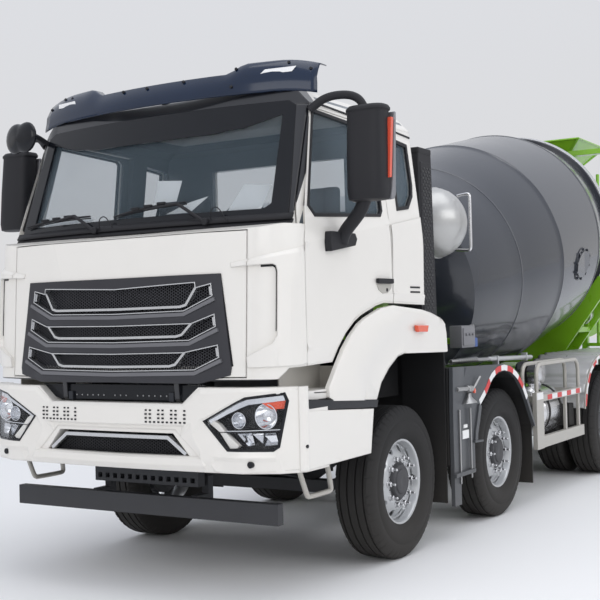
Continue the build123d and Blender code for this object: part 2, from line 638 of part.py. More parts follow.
with BuildPart() as roof_visor:
    with BuildSketch(AXLE_1.offset(3060)) as lower:
        with BuildLine():
            out = ThreePointArc((1062, -1143), (1241, 0), (1062, 1143))
            back = ThreePointArc((1036, -1130), (1211, 0), (1036, 1130))
            Line(out @ 0, back @ 0)
            Line(out @ 1, back @ 1)
        make_face()
    with BuildSketch(AXLE_1.offset(3320)) as upper:
        with BuildLine():
            out = ThreePointArc((951, -1130), (1131, 0), (951, 1130))
            back = ThreePointArc((921, -1120), (1101, 0), (921, 1120))
            Line(out @ 0, back @ 0)
            Line(out @ 1, back @ 1)
        make_face()
    loft(sections=[lower.sketch, upper.sketch], ruled=True)
    beam([(-y, z) for y, z in VISOR[-2:0:-1]] + VISOR, (800, 1300), mode=Mode.INTERSECT)
    for y in (-700, 0, 700):
        block((880, 1110 if y else 1200), (y - 20, y + 20), (3080, 3140))
    add(cab_outer, mode=Mode.SUBTRACT)
finish("roof_visor", roof_visor)

with BuildPart() as front_wall:
    add(cab_outer)
    add(cab_volume(40), mode=Mode.SUBTRACT)

with BuildPart() as front_panel:
    add(front_wall.part)
    beam(FLAP, (1500, 1800), mode=Mode.INTERSECT, inset=GAP)
    beam(GRILLE, (1500, 1800), mode=Mode.SUBTRACT)
finish("front_panel", front_panel)

with BuildPart() as grille_shape:
    beam(GRILLE, (1500, 1800))

with BuildPart() as grille_skin:
    add(cab_volume(14))
    add(cab_volume(40), mode=Mode.SUBTRACT)

with BuildPart() as grille_pockets:
    add(cab_volume(0))
    add(cab_volume(30), mode=Mode.SUBTRACT)
    with BuildPart(mode=Mode.INTERSECT):
        for row in range(3):
            half = [(y + 20 * row, z - GRILLE_ROW * row) for y, z in GRILLE_WINDOW]
            beam([(-y, z) for y, z in reversed(half)] + half, (1500, 1800))

with BuildPart() as grille:
    add(grille_skin.part)
    add(grille_shape.part, mode=Mode.INTERSECT)
    add(grille_pockets.part, mode=Mode.SUBTRACT)
finish("grille", grille)

with BuildPart() as door_skin:
    add(cab_outer)
    add(cab_volume(DOOR_WALL), mode=Mode.SUBTRACT)
    beam(CAB_SECTION, (-500, 1800), mode=Mode.SUBTRACT, inset=DOOR_DEPTH)

for name, side in SIDES.items():
    with BuildPart() as door:
        add(door_skin.part)
        slab(DOOR_PANEL, (side * 950, side * 1300), mode=Mode.INTERSECT, inset=GAP)
        slab(DOOR_WINDOW, (side * 950, side * 1300), mode=Mode.SUBTRACT)
    finish(f"door_{name}", door)

    with BuildPart() as door_glass:
        add(glass_skin.part)
        slab(DOOR_WINDOW, (side * 950, side * 1300), mode=Mode.INTERSECT)
    finish(f"door_glass_{name}", door_glass)

    with BuildPart() as mirror:
        plate([(1085, side * 1335), (1110, side * 1400), (1095, side * 1560), (1060, side * 1600),
               (935, side * 1590), (935, side * 1340)], (2360, 2950))
        tube([(1000, side * 1400, 2900), (1000, side * 1400, 3010), (1090, side * 1130, 2960)], 28, 60)
        slab([(1100, 2070), (1100, 2130), (1060, 2200), (760, 2200), (740, 2110)], (side * 1192, side * 1225))
        tube([(900, side * 1215, 2150), (960, side * 1300, 2200), (1000, side * 1400, 2400)], 40, 60)
        add(cab_outer, mode=Mode.SUBTRACT)
    finish(f"mirror_{name}", mirror)

with BuildPart() as seats:
    for y in (-560, 560):
        with BuildSketch(AXLE_1.offset(1850)) as face:
            with Locations((430, y)):
                RectangleRounded(520, 520, 60)
        extrude(face.sketch, amount=130)
        with BuildSketch(AXLE_1.offset(1990)) as face:
            with Locations((190, y)):
                RectangleRounded(120, 500, 40)
        extrude(face.sketch, amount=620)
        block((240, 620), (y - 200, y + 200), (1790, 1850))
        block((150, 230), (y - 200, y + 200), (1790, 1990))
    add(cab_inner, mode=Mode.INTERSECT)
finish("seats", seats)

with BuildPart() as dashboard:
    plate([(1330, -1000), (1390, -900), (1430, 0), (1390, 900), (1330, 1000), (1050, 1000), (1130, 0), (1050, -1000)],
          (1950, 2215))
    add(cab_inner, mode=Mode.INTERSECT)
    rod((1120, 560, 2090), (930, 560, 2230), 30)
    with Locations(Plane(origin=at(922, 560, 2236), z_dir=(-190, 0, 140))):
        Torus(210, 15)
        Box(400, 40, 14)
finish("dashboard", dashboard)

# ---------------------------------------------------------------- wheels

TYRE = [(-105, RIM_R), (-105, 301), (-125, 310), (-145, 350), (-150, 400), (-143, 455), (-125, 500), (-105, 522), (-60, TYRE_R),
        (60, TYRE_R), (105, 522), (125, 500), (143, 455), (150, 400), (145, 350), (125, 310), (105, 301), (105, RIM_R)]
BARREL = [(-115, 300), (-106, 300), (-106, 286), (-60, 285), (-42, 262), (42, 262), (60, 285), (106, 286), (106, 300),
          (115, 300), (115, 276), (60, 270), (45, 248), (-45, 248), (-60, 270), (-115, 276)]


def wheel_plane(x, y, outward):
    """Local x runs along the axle, outward; local y is up."""
    return Plane(origin=at(x, y, HUB_Z), x_dir=(0, outward, 0), z_dir=(outward, 0, 0))


for axle in ("1", "2"):
    x = AXLES[axle]
    for name, side in SIDES.items():
        hub = wheel_plane(x, side * SINGLE_Y, side)
        with BuildPart() as tyre:
            ring(hub, TYRE)
        finish(f"tyre_{axle}_{name}", tyre)

        with BuildPart() as rim:
            ring(hub, BARREL)
            ring(hub, [(28, 250), (42, 250), (88, 195), (88, 130), (74, 130), (74, 190)])
            ring(hub, [(-60, SPINDLE_R + FIT), (-60, 205), (20, 205), (20, 150), (88, 150), (88, 110), (130, 95),
                       (140, 60), (140, 0), (82, 0), (82, SPINDLE_R + FIT)])
            with Locations(hub.location * Location((60, 0, 0), (0, 90, 0))):
                with PolarLocations(222, 10):
                    Cylinder(22, 90, mode=Mode.SUBTRACT)
        finish(f"rim_{axle}_{name}", rim)

        with BuildPart() as knuckle:
            ring(hub, [(-83, 0), (-83, 95), (-66, 95), (-66, SPINDLE_R), (78, SPINDLE_R), (78, 0)])
            with Locations(at(x, side * KINGPIN_Y, HUB_Z)):
                Cylinder(KINGPIN_R, 250)
            for z in (-95, 95):
                with Locations(at(x, side * KINGPIN_Y, HUB_Z + z)):
                    Cylinder(42, 60)
                block((x - 42, x + 42), (side * KINGPIN_Y, side * (SINGLE_Y - 80)), (HUB_Z + z - 30, HUB_Z + z + 30))
        finish(f"knuckle_{axle}_{name}", knuckle)

for axle in ("3", "4"):
    x = AXLES[axle]
    for name, side in SIDES.items():
        with BuildPart() as tyre:
            for y in TWIN_Y:
                ring(wheel_plane(x, side * y, side), TYRE)
        finish(f"tyres_{axle}_{name}", tyre)

        hub = wheel_plane(x, side * TWIN_Y[1], side)
        with BuildPart() as rim:
            ring(hub, BARREL)
            ring(wheel_plane(x, side * TWIN_Y[0], side), BARREL)
            ring(hub, [(-190, 250), (-175, 250), (-120, 195), (-120, 130), (-160, 130), (-160, 190)])
            ring(hub, [(-158, 190), (-40, 250), (-40, 236), (-100, 190), (-100, 130), (-158, 130)])
            ring(hub, [(-400, 50 + FIT), (-400, 150), (-160, 150), (-100, 150), (-100, 110), (40, 105), (55, 90),
                       (55, 0), (-130, 0), (-130, 50 + FIT)])
        finish(f"rims_{axle}_{name}", rim)

# ---------------------------------------------------------------- chute


CHUTE_RUN = Plane(
    origin=at(CHUTE_X, 0, CHUTE_PIN_Z),
    x_dir=(0, -1, 0),
    z_dir=(-cos(radians(CHUTE_SLOPE)), 0, -sin(radians(CHUTE_SLOPE))),
)  # local z runs down the trough, local y is up from its bottom


def trough(start, length, folded=False):
    """A half-round trough along the run, from start; a folded one lies upside down on the first."""
    lift = 2 * FOLD_HINGE_UP if folded else 0
    open_side = -1 if folded else 1
    with BuildSketch(CHUTE_RUN.offset(start)) as face:
        with Locations((0, lift)):
            Circle(CHUTE_R)
            Circle(CHUTE_R - 10, mode=Mode.SUBTRACT)
        with Locations((0, lift + open_side * CHUTE_R)):
            Rectangle(3 * CHUTE_R, 2 * CHUTE_R, mode=Mode.SUBTRACT)
    extrude(face.sketch, amount=length)


with BuildPart() as chute_turntable:
    with Locations(at(CHUTE_X, 0, CHUTE_SEAT_Z + 15)):
        Cylinder(100, 20)
    block((CHUTE_X - 50, CHUTE_X + 50), (-300, 300), (CHUTE_SEAT_Z + 5, CHUTE_SEAT_Z + 30))
    for side in SIDES.values():
        block((CHUTE_X - 50, CHUTE_X + 50), (side * 300, side * 280), (CHUTE_SEAT_Z + 30, CHUTE_PIN_Z + 50))
    with Locations(Plane(origin=at(CHUTE_X, 0, CHUTE_PIN_Z), z_dir=(0, 1, 0))):
        Cylinder(20 + FIT, 700, mode=Mode.SUBTRACT)
finish("chute_turntable", chute_turntable)

with BuildPart() as chute_main:
    trough(-CHUTE_AHEAD, CHUTE_AHEAD + CHUTE_LENGTH)
    for side in SIDES.values():
        rod((CHUTE_X, side * (CHUTE_R - 6), CHUTE_PIN_Z), (CHUTE_X, side * 305, CHUTE_PIN_Z), 20)
finish("chute_main", chute_main)

with BuildPart() as chute_end:
    trough(CHUTE_LENGTH - CHUTE_END_LENGTH, CHUTE_END_LENGTH - 8, folded=True)
finish("chute_end", chute_end)
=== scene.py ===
"""Concrete mixer truck, dressed for the camera. Metres; +X forward, +Y the truck's left, +Z up."""

import math

import bmesh
import bpy
from mathutils import Matrix, Vector
from mathutils.geometry import delaunay_2d_cdt


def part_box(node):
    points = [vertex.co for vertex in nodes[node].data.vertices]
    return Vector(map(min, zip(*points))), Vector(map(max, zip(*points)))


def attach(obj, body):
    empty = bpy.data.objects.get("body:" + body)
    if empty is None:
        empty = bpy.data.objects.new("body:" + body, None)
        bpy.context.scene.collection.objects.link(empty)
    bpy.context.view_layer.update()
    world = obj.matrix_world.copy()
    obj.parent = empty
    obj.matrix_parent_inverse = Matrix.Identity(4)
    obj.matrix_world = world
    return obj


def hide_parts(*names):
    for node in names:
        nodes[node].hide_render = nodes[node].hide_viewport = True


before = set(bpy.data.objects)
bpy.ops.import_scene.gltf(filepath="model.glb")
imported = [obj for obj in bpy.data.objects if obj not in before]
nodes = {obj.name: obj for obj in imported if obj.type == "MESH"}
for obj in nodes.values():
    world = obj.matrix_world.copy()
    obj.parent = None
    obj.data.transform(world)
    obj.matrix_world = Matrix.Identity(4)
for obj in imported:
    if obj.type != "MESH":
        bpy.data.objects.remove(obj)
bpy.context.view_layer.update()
SIDES = {"left": 1, "right": -1}
AHEAD, BACK, LEFT, UP = (1, 0, 0), (-1, 0, 0), (0, 1, 0), (0, 0, 1)


def middle(node):
    low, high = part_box(node)
    return (low + high) / 2


FRONT_AXLE = middle("tyre_1_left").x  # places below are measured from the first axle
# how far out the side guard and the panel over the second axle stand
GUARD_FACE, PANEL_FACE = 1.2255, 1.236


def at(x, y, z):
    return Vector((FRONT_AXLE + x, y, z))


# ---------------------------------------------------------------- materials


DUST = (0.24, 0.21, 0.17, 1)


def set_inputs(tree, node, values):
    """Gives each named or numbered input a value, or links it to a socket."""
    for key, value in values.items():
        if isinstance(value, bpy.types.NodeSocket):
            tree.links.new(value, node.inputs[key])
        else:
            node.inputs[key].default_value = value


def node_adder(tree):
    """A function that adds one shader node, with its inputs and its settings."""

    def add(kind, inputs=(), **settings):
        node = tree.nodes.new("ShaderNode" + kind)
        for name, value in settings.items():
            setattr(node, name, value)
        set_inputs(tree, node, dict(inputs))
        return node

    return add


def new_material(name):
    mat = bpy.data.materials.new(name)
    mat.use_nodes = True
    return mat, mat.node_tree, mat.node_tree.nodes["Principled BSDF"], node_adder(mat.node_tree)


def material(name, color, rough=0.5, metal=0.0, coat=0.0, spots=0.06, scale=6.0, bump=0.0, bump_scale=60.0,
             edge=0.0, dirt=0.0):
    """A procedural surface: base colour with cloudy variation, uneven roughness, fine bump, soft edges."""
    mat, tree, shader, add = new_material(name)
    place = add("TexCoord").outputs["Object"]
    cloud = add("TexNoise", {"Scale": scale, "Detail": 4, "Vector": place}).outputs["Fac"]
    dark = [c * (1 - spots) for c in color]
    light = [min(1, c * (1 + spots)) for c in color]
    base = add("Mix", {6: (*dark, 1), 7: (*light, 1), 0: cloud}, data_type="RGBA").outputs[2]
    if dirt:
        # road dust towards the ground
        height = add("SeparateXYZ", {0: place}).outputs["Z"]
        fade = add("MapRange",
                   {"From Min": 0.0, "From Max": 1.1, "To Min": dirt, "To Max": 0.0, "Value": height})
        base = add("Mix", {7: DUST, 0: fade.outputs["Result"], 6: base}, data_type="RGBA").outputs[2]
    uneven = add("MapRange",
                 {"To Min": max(0.02, rough - 0.08), "To Max": min(1, rough + 0.08), "Value": cloud})
    set_inputs(tree, shader, {"Base Color": base, "Roughness": uneven.outputs["Result"], "Metallic": metal,
                              "Coat Weight": coat, "Coat Roughness": 0.06})
    normal = None
    if edge:
        normal = add("Bevel", {"Radius": edge}, samples=6).outputs["Normal"]
        if coat:
            set_inputs(tree, shader, {"Coat Normal": normal})
    if bump:
        grain = add("TexNoise", {"Scale": bump_scale, "Detail": 3, "Vector": place}).outputs["Fac"]
        relief = add("Bump", {"Strength": bump, "Distance": 0.002, "Height": grain})
        if normal:
            set_inputs(tree, relief, {"Normal": normal})
        normal = relief.outputs["Normal"]
    if normal:
        set_inputs(tree, shader, {"Normal": normal})
    return mat


def glass(name, tint, see_through, rough=0.02):
    """Thin pane: mostly clear, with a mirror reflection that grows at grazing angles."""
    mat, tree, shader, add = new_material(name)
    smudge = add("TexNoise", {"Scale": 3}).outputs["Fac"]
    uneven = add("MapRange", {"To Min": rough, "To Max": rough + 0.05, "Value": smudge})
    set_inputs(tree, shader, {"Base Color": (*tint, 1), "Roughness": uneven.outputs["Result"]})
    clear = add("BsdfTransparent", {"Color": (*[0.9 + 0.1 * c for c in tint], 1)})
    facing = add("LayerWeight", {"Blend": 0.5}).outputs["Facing"]
    steep = add("Math", {1: 4.0, 0: facing}, operation="POWER").outputs[0]
    share = add("MapRange", {"To Min": 1 - see_through, "To Max": 1.0, "Value": steep}).outputs["Result"]
    blend = add("MixShader", {"Fac": share, 1: clear.outputs["BSDF"], 2: shader.outputs["BSDF"]})
    set_inputs(tree, tree.nodes["Material Output"], {"Surface": blend.outputs["Shader"]})
    return mat


M = {
    "white": material("paint_white", (0.80, 0.775, 0.73), 0.32, coat=0.5, spots=0.015, edge=0.012, dirt=0.06),
    "white_plastic": material("white_moulding", (0.77, 0.75, 0.71), 0.4, coat=0.3, spots=0.02, edge=0.008),
    "black": material("grained_black", (0.018, 0.018, 0.021), 0.55, bump=0.25, bump_scale=300, edge=0.006),
    "gloss_black": material("gloss_black", (0.006, 0.007, 0.010), 0.2, coat=0.1, spots=0.1, edge=0.006),
    "visor": material("smoked_visor", (0.006, 0.016, 0.042), 0.13, coat=0.35, spots=0.2, scale=2, edge=0.01),
    "grille": material("grille_grey", (0.046, 0.046, 0.052), 0.42, metal=0.3, spots=0.05, bump=0.1,
                       edge=0.004),
    "grille_trim": material("grille_silver", (0.62, 0.625, 0.635), 0.22, metal=0.9, spots=0.05, edge=0.003),
    "chassis": material("chassis_grey", (0.03, 0.033, 0.04), 0.5, spots=0.15, bump=0.15, edge=0.006,
                        dirt=0.12),
    "panel": material("dark_panel", (0.07, 0.075, 0.083), 0.45, coat=0.2, spots=0.08, edge=0.006, dirt=0.1),
    "engine": material("cast_engine", (0.09, 0.09, 0.095), 0.6, metal=0.5, spots=0.3, bump=0.6,
                       bump_scale=80),
    "bright": material("bright_metal", (0.72, 0.72, 0.73), 0.24, metal=1.0, spots=0.05, bump=0.08,
                       bump_scale=25,
                       edge=0.006),
    "guard": material("guard_grey", (0.47, 0.45, 0.41), 0.4, metal=0.2, coat=0.2, spots=0.05, edge=0.006,
                      dirt=0.1),
    "silver": material("silver_paint", (0.5, 0.5, 0.49), 0.34, metal=0.55, coat=0.3, spots=0.06, edge=0.01),
    "green": material("lime_paint", (0.235, 0.52, 0.018), 0.3, coat=0.6, spots=0.05, edge=0.008),
    "drum": material("drum_grey", (0.03, 0.034, 0.044), 0.22, coat=0.45, spots=0.08, scale=1.2, bump=0.12,
                     bump_scale=2.2),
    "tyre": material("tyre_rubber", (0.017, 0.017, 0.018), 0.72, spots=0.15, bump=0.35, bump_scale=180,
                     dirt=0.1),
    "fender_steel": material("fender_steel", (0.74, 0.74, 0.74), 0.3, metal=0.3, coat=0.2, spots=0.05,
                             edge=0.01, dirt=0.08),
    # lighter grey for the tops of the grille bars: a painted highlight where overhead light falls on them
    "bar_highlight_paint": material("grille_bar_top", (0.16, 0.16, 0.172), 0.38, metal=0.3, spots=0.05, edge=0.004),
    "wheel": material("wheel_silver", (0.52, 0.53, 0.54), 0.33, metal=0.6, coat=0.3, spots=0.05, edge=0.004),
    "cloth": material("seat_cloth", (0.10, 0.10, 0.11), 0.9, spots=0.2, bump=0.8, bump_scale=420),
    "rubber": material("flap_rubber", (0.014, 0.014, 0.015), 0.65, spots=0.1, bump=0.2, bump_scale=120,
                       dirt=0.15),
    "chrome": material("lamp_chrome", (0.75, 0.76, 0.78), 0.08, metal=1.0, spots=0.03),
    "orange": material("orange_lens", (0.75, 0.07, 0.012), 0.15, coat=1.0, spots=0.05),
    "red": material("red_lens", (0.55, 0.012, 0.01), 0.15, coat=1.0, spots=0.05),
    "paper": material("paper", (0.85, 0.85, 0.84), 0.8, spots=0.02),
    "tape_red": material("tape_red", (0.62, 0.02, 0.02), 0.35, spots=0.05),
    "tape_white": material("tape_white", (0.82, 0.82, 0.82), 0.35, spots=0.03),
    "steel": material("bolt_steel", (0.4, 0.4, 0.4), 0.35, metal=0.9, spots=0.1),
    "rim_grey": material("rim_grey", (0.23, 0.23, 0.245), 0.4, metal=0.3, spots=0.05, edge=0.004),
    "vermilion": material("vermilion_lens", (0.72, 0.085, 0.04), 0.3, coat=0.6, spots=0.04),
    "blue": material("blue_valve", (0.02, 0.09, 0.35), 0.4, spots=0.05),
    "glass": glass("window_glass", (0.24, 0.32, 0.38), 0.91),
    "lens": glass("lamp_lens", (0.9, 0.92, 0.95), 0.975),
}


for key in "black gloss_black visor grille chassis tyre rubber panel".split():
    M[key].node_tree.nodes["Principled BSDF"].inputs["Specular IOR Level"].default_value = 0.28


def paint(node, key):
    """One finish on a CAD node."""
    for index in range(max(1, len(nodes[node].material_slots))):
        if nodes[node].material_slots:
            nodes[node].material_slots[index].material = M[key]
        else:
            nodes[node].data.materials.append(M[key])


FINISHES = {
    "white": "bumper front_fenders cab_roof front_panel door_left door_right",
    "chassis": "frame_rails axles leaf_springs underrun_bars radiator "
               "knuckle_1_left knuckle_1_right knuckle_2_left knuckle_2_right",
    "engine": "powertrain",
    "black": "mirror_left mirror_right entry_steps dashboard air_intake",
    "grille": "grille",
    "rubber": "mud_flaps",
    "visor": "roof_visor",
    "panel": "second_fenders",
    "lens": "lamps",
    "glass": "cab_glass door_glass_left door_glass_right",
    "bright": "side_tanks rear_fenders",
    "guard": "side_guards",
    "silver": "water_tank",
    "green": "mixer_frame rear_frame chute_stand hopper drum_mounts chute_turntable chute_main chute_end",
    "drum": "drum",
    "cloth": "seats",
}
for key, names in FINISHES.items():
    for name in names.split():
        paint(name, key)
for name in nodes:
    if name.startswith("tyre"):
        paint(name, "tyre")
    if name.startswith("rim"):
        paint(name, "wheel")


def banded(name, under, groups):
    """The under finish, painted over with a group's colour where a point lies beyond all of its planes.

    A plane is (normal, least), and a point is beyond it where normal . point is more than least.
    """
    mat = M[under].copy()
    mat.name = name
    tree = mat.node_tree
    add = node_adder(tree)
    shader = tree.nodes["Principled BSDF"]
    place = add("TexCoord").outputs["Object"]
    color = shader.inputs["Base Color"].links[0].from_socket
    for tests, over in groups:
        mask = None
        for normal, least in tests:
            dot = add("VectorMath", {1: normal, 0: place}, operation="DOT_PRODUCT").outputs["Value"]
            above = add("Math", {1: least, 0: dot}, operation="GREATER_THAN").outputs[0]
            mask = above if mask is None else add("Math", {0: mask, 1: above},
                                                  operation="MULTIPLY").outputs[0]
        color = add("Mix", {0: mask, 6: color, 7: (*over, 1)}, data_type="RGBA").outputs[2]
    set_inputs(tree, shader, {"Base Color": color})
    return mat


# the pillars, header and cowl round the windscreen are black, and so are the tilt lugs; the black on the
# header and the roof's front under the visor is partly painted shade, and below the lugs' line it also paints
# a shadow line on the cab's lower lip; the cab is lined inside
pillar = (FRONT_AXLE + 1.357) + 2.222 * 0.4388
TRIM_BLACK_AND_SHADE, LINING = (0.009, 0.01, 0.014), (0.075, 0.095, 0.115)
M["cab"] = banded("cab_two_tone_and_painted_shade", "white", [
    ([((0, 0, 1), 2.231), ((1, 0, 0.4388), pillar - 0.012)], TRIM_BLACK_AND_SHADE),
    ([((0, 0, -1), -1.322)], TRIM_BLACK_AND_SHADE),
    ([((0, 1, 0), -1.16), ((0, -1, 0), -1.16), ((0, 1, -0.115), -1.413), ((0, -1, -0.115), -1.413),
      ((1, 0, 0), FRONT_AXLE - 0.27),
      ((-1, 0, -0.4388), 0.05 - pillar), ((0, 0, -1), -3.06), ((0, 0, 1), 1.80)], LINING)])
for name in ("cab_shell", "cab_roof", "door_left", "door_right"):
    paint(name, "cab")

# ---------------------------------------------------------------- making pieces


def piece(name, body, key, mesh, stands_for=()):
    """A mesh in the row frame, riding on a body."""
    obj = bpy.data.objects.new(name, mesh)
    bpy.context.collection.objects.link(obj)
    mesh.materials.append(M[key])
    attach(obj, body)
    if stands_for:
        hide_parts(*stands_for)
    return obj


def solid(build, smooth=None):
    """A mesh from a function that fills a bmesh."""
    made = bmesh.new()
    build(made)
    bmesh.ops.remove_doubles(made, verts=made.verts, dist=1e-5)
    bmesh.ops.recalc_face_normals(made, faces=made.faces)
    mesh = bpy.data.meshes.new("part")
    made.to_mesh(mesh)
    made.free()
    if smooth:
        mesh.shade_smooth()
        mesh.set_sharp_from_angle(angle=math.radians(smooth))
    return mesh


def add_block(made, low, high, bevel=0.0):
    """A box between two corners, its edges rounded."""
    low, high = Vector(low), Vector(high)
    size = high - low
    spot = Matrix.Translation((low + high) / 2) @ Matrix.Diagonal((abs(size.x), abs(size.y), abs(size.z), 1))
    got = bmesh.ops.create_cube(made, size=1, matrix=spot)
    if bevel:
        edges = dict.fromkeys(e for v in got["verts"] for e in v.link_edges)
        bmesh.ops.bevel(made, geom=list(edges), offset=bevel, segments=2, affect="EDGES", profile=0.7)


def side_block(made, side, near, far, bevel=0.0):
    """A box between two corners that are given for the truck's left, mirrored where side is -1."""
    low, high = sorted((side * near[1], side * far[1]))
    add_block(made, at(near[0], low, near[2]), at(far[0], high, far[2]), bevel)


def add_prism(made, outline, lift):
    """A flat outline of 3-D points carried along a vector."""
    lift = Vector(lift)
    near = [made.verts.new(p) for p in outline]
    far = [made.verts.new(Vector(p) + lift) for p in outline]
    made.faces.new(near)
    made.faces.new(far[::-1])
    for i in range(len(near)):
        j = (i + 1) % len(near)
        made.faces.new((near[i], far[i], far[j], near[j]))


def add_turned(made, profile, centre, axis, up, steps=48, wave=None):
    """A closed (along, radius) profile turned about an axis; wave may change the radius."""
    axis, up = Vector(axis).normalized(), Vector(up).normalized()
    side = axis.cross(up)
    rings = []
    for step in range(steps):
        angle = 2 * math.pi * step / steps
        out = up * math.cos(angle) + side * math.sin(angle)
        row = []
        for along, radius in profile:
            if wave:
                radius = wave(angle, along, radius)
            row.append(made.verts.new(Vector(centre) + axis * along + out * radius))
        rings.append(row)
    count = len(profile)
    for step in range(steps):
        here, there = rings[step], rings[(step + 1) % steps]
        for i in range(count):
            j = (i + 1) % count
            if profile[i][1] < 1e-9 and profile[j][1] < 1e-9:
                continue
            corners = [here[i], here[j], there[j], there[i]]
            made.faces.new(corners)


def add_rod(made, start, end, radius, steps=16, cap=None):
    start, end = Vector(start), Vector(end)
    axis = end - start
    up = Vector((0, 0, 1)) if abs(axis.normalized().z) < 0.9 else Vector((1, 0, 0))
    up = (up - axis * up.dot(axis) / axis.length_squared).normalized()
    length, soft = axis.length, cap or 0
    profile = [(0, 0), (0, radius - soft), (soft, radius), (length - soft, radius), (length, radius - soft),
               (length, 0)]
    add_turned(made, profile, start, axis, up, steps)


def pipe(name, body, key, points, radius):
    """A smooth round tube through points, as a curve."""
    curve = bpy.data.curves.new(name, "CURVE")
    curve.dimensions = "3D"
    curve.bevel_depth = radius
    curve.bevel_resolution = 3
    curve.resolution_u = 8
    curve.use_fill_caps = True
    line = curve.splines.new("NURBS")
    line.points.add(len(points) - 1)
    for spot, point in zip(line.points, points):
        spot.co = (*point, 1)
    line.order_u = 3
    line.use_endpoint_u = True
    obj = bpy.data.objects.new(name, curve)
    bpy.context.collection.objects.link(obj)
    curve.materials.append(M[key])
    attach(obj, body)
    return obj


def sheet_of(rows):
    """A grid of 3-D points as a surface."""

    def build(made):
        grid = [[made.verts.new(p) for p in row] for row in rows]
        for a, b in zip(grid, grid[1:]):
            for i in range(len(a) - 1):
                made.faces.new((a[i], a[i + 1], b[i + 1], b[i]))

    return build


def thick(obj, depth, offset=-1.0):
    wall = obj.modifiers.new("wall", "SOLIDIFY")
    wall.thickness = depth
    wall.offset = offset
    return obj


def rounded(obj, width, segments=2, angle=30):
    edge = obj.modifiers.new("edge", "BEVEL")
    edge.width = width
    edge.segments = segments
    edge.limit_method = "ANGLE"
    edge.angle_limit = math.radians(angle)
    edge.harden_normals = False
    return obj


def smoothed(obj, levels=2):
    fine = obj.modifiers.new("fine", "SUBSURF")
    fine.levels = fine.render_levels = levels
    return obj


# ---------------------------------------------------------------- wheels

TREAD_GROOVES = (-0.088, -0.03, 0.03, 0.088)


def tread_profile(radius=0.525, bead=0.288):
    """Tyre section from the inner bead round over the tread: (along, radius)."""
    side = [(0.112, bead), (0.118, 0.300), (0.132, 0.312), (0.146, 0.345), (0.1505, 0.385), (0.149, 0.42),
            (0.1465, 0.424), (0.1465, 0.432), (0.148, 0.436), (0.143, 0.47), (0.134, 0.497), (0.122, 0.512)]
    crown = [(0.112, radius - 0.003)]
    for groove in reversed(TREAD_GROOVES):
        crown += [(groove + 0.0065, radius - 0.0005), (groove + 0.004, radius - 0.014),
                  (groove - 0.004, radius - 0.014),
                  (groove - 0.0065, radius - 0.0005)]
    crown += [(-0.112, radius - 0.003)]
    return side + crown + [(-a, r) for a, r in reversed(side)]


def shoulder_blocks(angle, along, radius):
    """Short cuts across the shoulders."""
    cell = (angle * 54 / (2 * math.pi)) % 1
    if 0.1 < abs(along) < 0.14 and radius > 0.49 and cell < 0.16:
        return radius - 0.008
    return radius


def tyre_mesh(centres, outward):
    def build(made):
        for centre in centres:
            add_turned(made, tread_profile(), centre, (0, outward, 0), UP, 324, shoulder_blocks)

    return solid(build, smooth=35)


SINGLE_RIM = [(-0.112, 0.288), (-0.112, 0.300), (-0.104, 0.300), (-0.1, 0.283), (0.1, 0.283), (0.104, 0.300),
              (0.112, 0.300), (0.115, 0.296), (0.110, 0.278), (0.098, 0.271), (0.06, 0.268)]


def disc_profile(dish):
    """Steel disc from the rim inwards; dish is how far the nut circle stands outside the rim's middle."""
    return [(0.06, 0.268), (0.05, 0.262), (0.046, 0.252), (0.051, 0.243), (0.061, 0.228), (0.072, 0.211),
            (dish - 0.004, 0.194), (dish, 0.183), (dish, 0.136)]


def holed_disc(made, plane, profile, holes, count, radius, depth):
    """A turned disc with round openings: the ring of holes is left out and closed by round lips."""
    centre, axis, up = plane
    axis, up = Vector(axis).normalized(), Vector(up)
    side = axis.cross(up)

    def spot(angle, along, out):
        return Vector(centre) + axis * along + (up * math.cos(angle) + side * math.sin(angle)) * out

    def along_at(out):
        for (a0, r0), (a1, r1) in zip(profile, profile[1:]):
            if r1 <= out <= r0:
                return a0 + (a1 - a0) * (r0 - out) / max(1e-6, r0 - r1)
        return profile[-1][0] if out < profile[-1][1] else profile[0][0]

    sector = 2 * math.pi / count
    for k in range(count):
        middle_angle = sector * (k + 0.5)
        # boundary of the hole and of its cell, matched point for point
        cell_top, cell_low = profile[0][1], profile[-1][1]
        inner, outer = [], []
        steps = 32
        for i in range(steps):
            turn = 2 * math.pi * i / steps
            du, dv = math.cos(turn), math.sin(turn)
            out = holes + radius * dv
            angle = middle_angle + radius * du / holes
            inner.append((angle, out))
            # walk outwards to the cell's border
            reach = 1e9
            if abs(du) > 1e-6:
                reach = (sector / 2) / abs(du) * holes
            if abs(dv) > 1e-6:
                reach = min(reach, (cell_top - holes if dv > 0 else holes - cell_low) / abs(dv))
            outer.append((middle_angle + reach * du / holes, holes + reach * dv))
        layers = []
        for t in (0, 0.12, 0.3, 0.5, 0.75, 1.0):
            layer = []
            for (ia, io), (oa, oo) in zip(inner, outer):
                angle, out = ia + (oa - ia) * t, io + (oo - io) * t
                layer.append(made.verts.new(spot(angle, along_at(out), out)))
            layers.append(layer)
        lip = [made.verts.new(spot(a, along_at(o) - depth, holes + (o - holes) * 0.9)) for a, o in inner]
        for low, high in zip([lip] + layers, layers):
            for i in range(steps):
                j = (i + 1) % steps
                made.faces.new((low[i], low[j], high[j], high[i]))


def add_nuts(made, centre, outward, along, circle, count, size=0.0165, tall=0.03):
    for k in range(count):
        angle = 2 * math.pi * (k + 0.5) / count
        spot = Vector(centre) + Vector((circle * math.sin(angle), outward * along, circle * math.cos(angle)))
        axis = Vector((0, outward, 0))
        add_turned(made,
                   [(0, 0), (0, size * 1.25), (0.006, size * 1.2), (0.006, size), (tall * 0.72, size),
                    (tall * 0.8, size * 0.85),
                          (tall * 0.8, 0)], spot, axis, (0, 0, 1), 6)
        add_turned(made,
                   [(0, 0), (0, size * 0.56), (tall * 1.5, size * 0.54), (tall * 1.6, size * 0.4),
                    (tall * 1.6, 0)],
                   spot, axis, (0, 0, 1), 12)


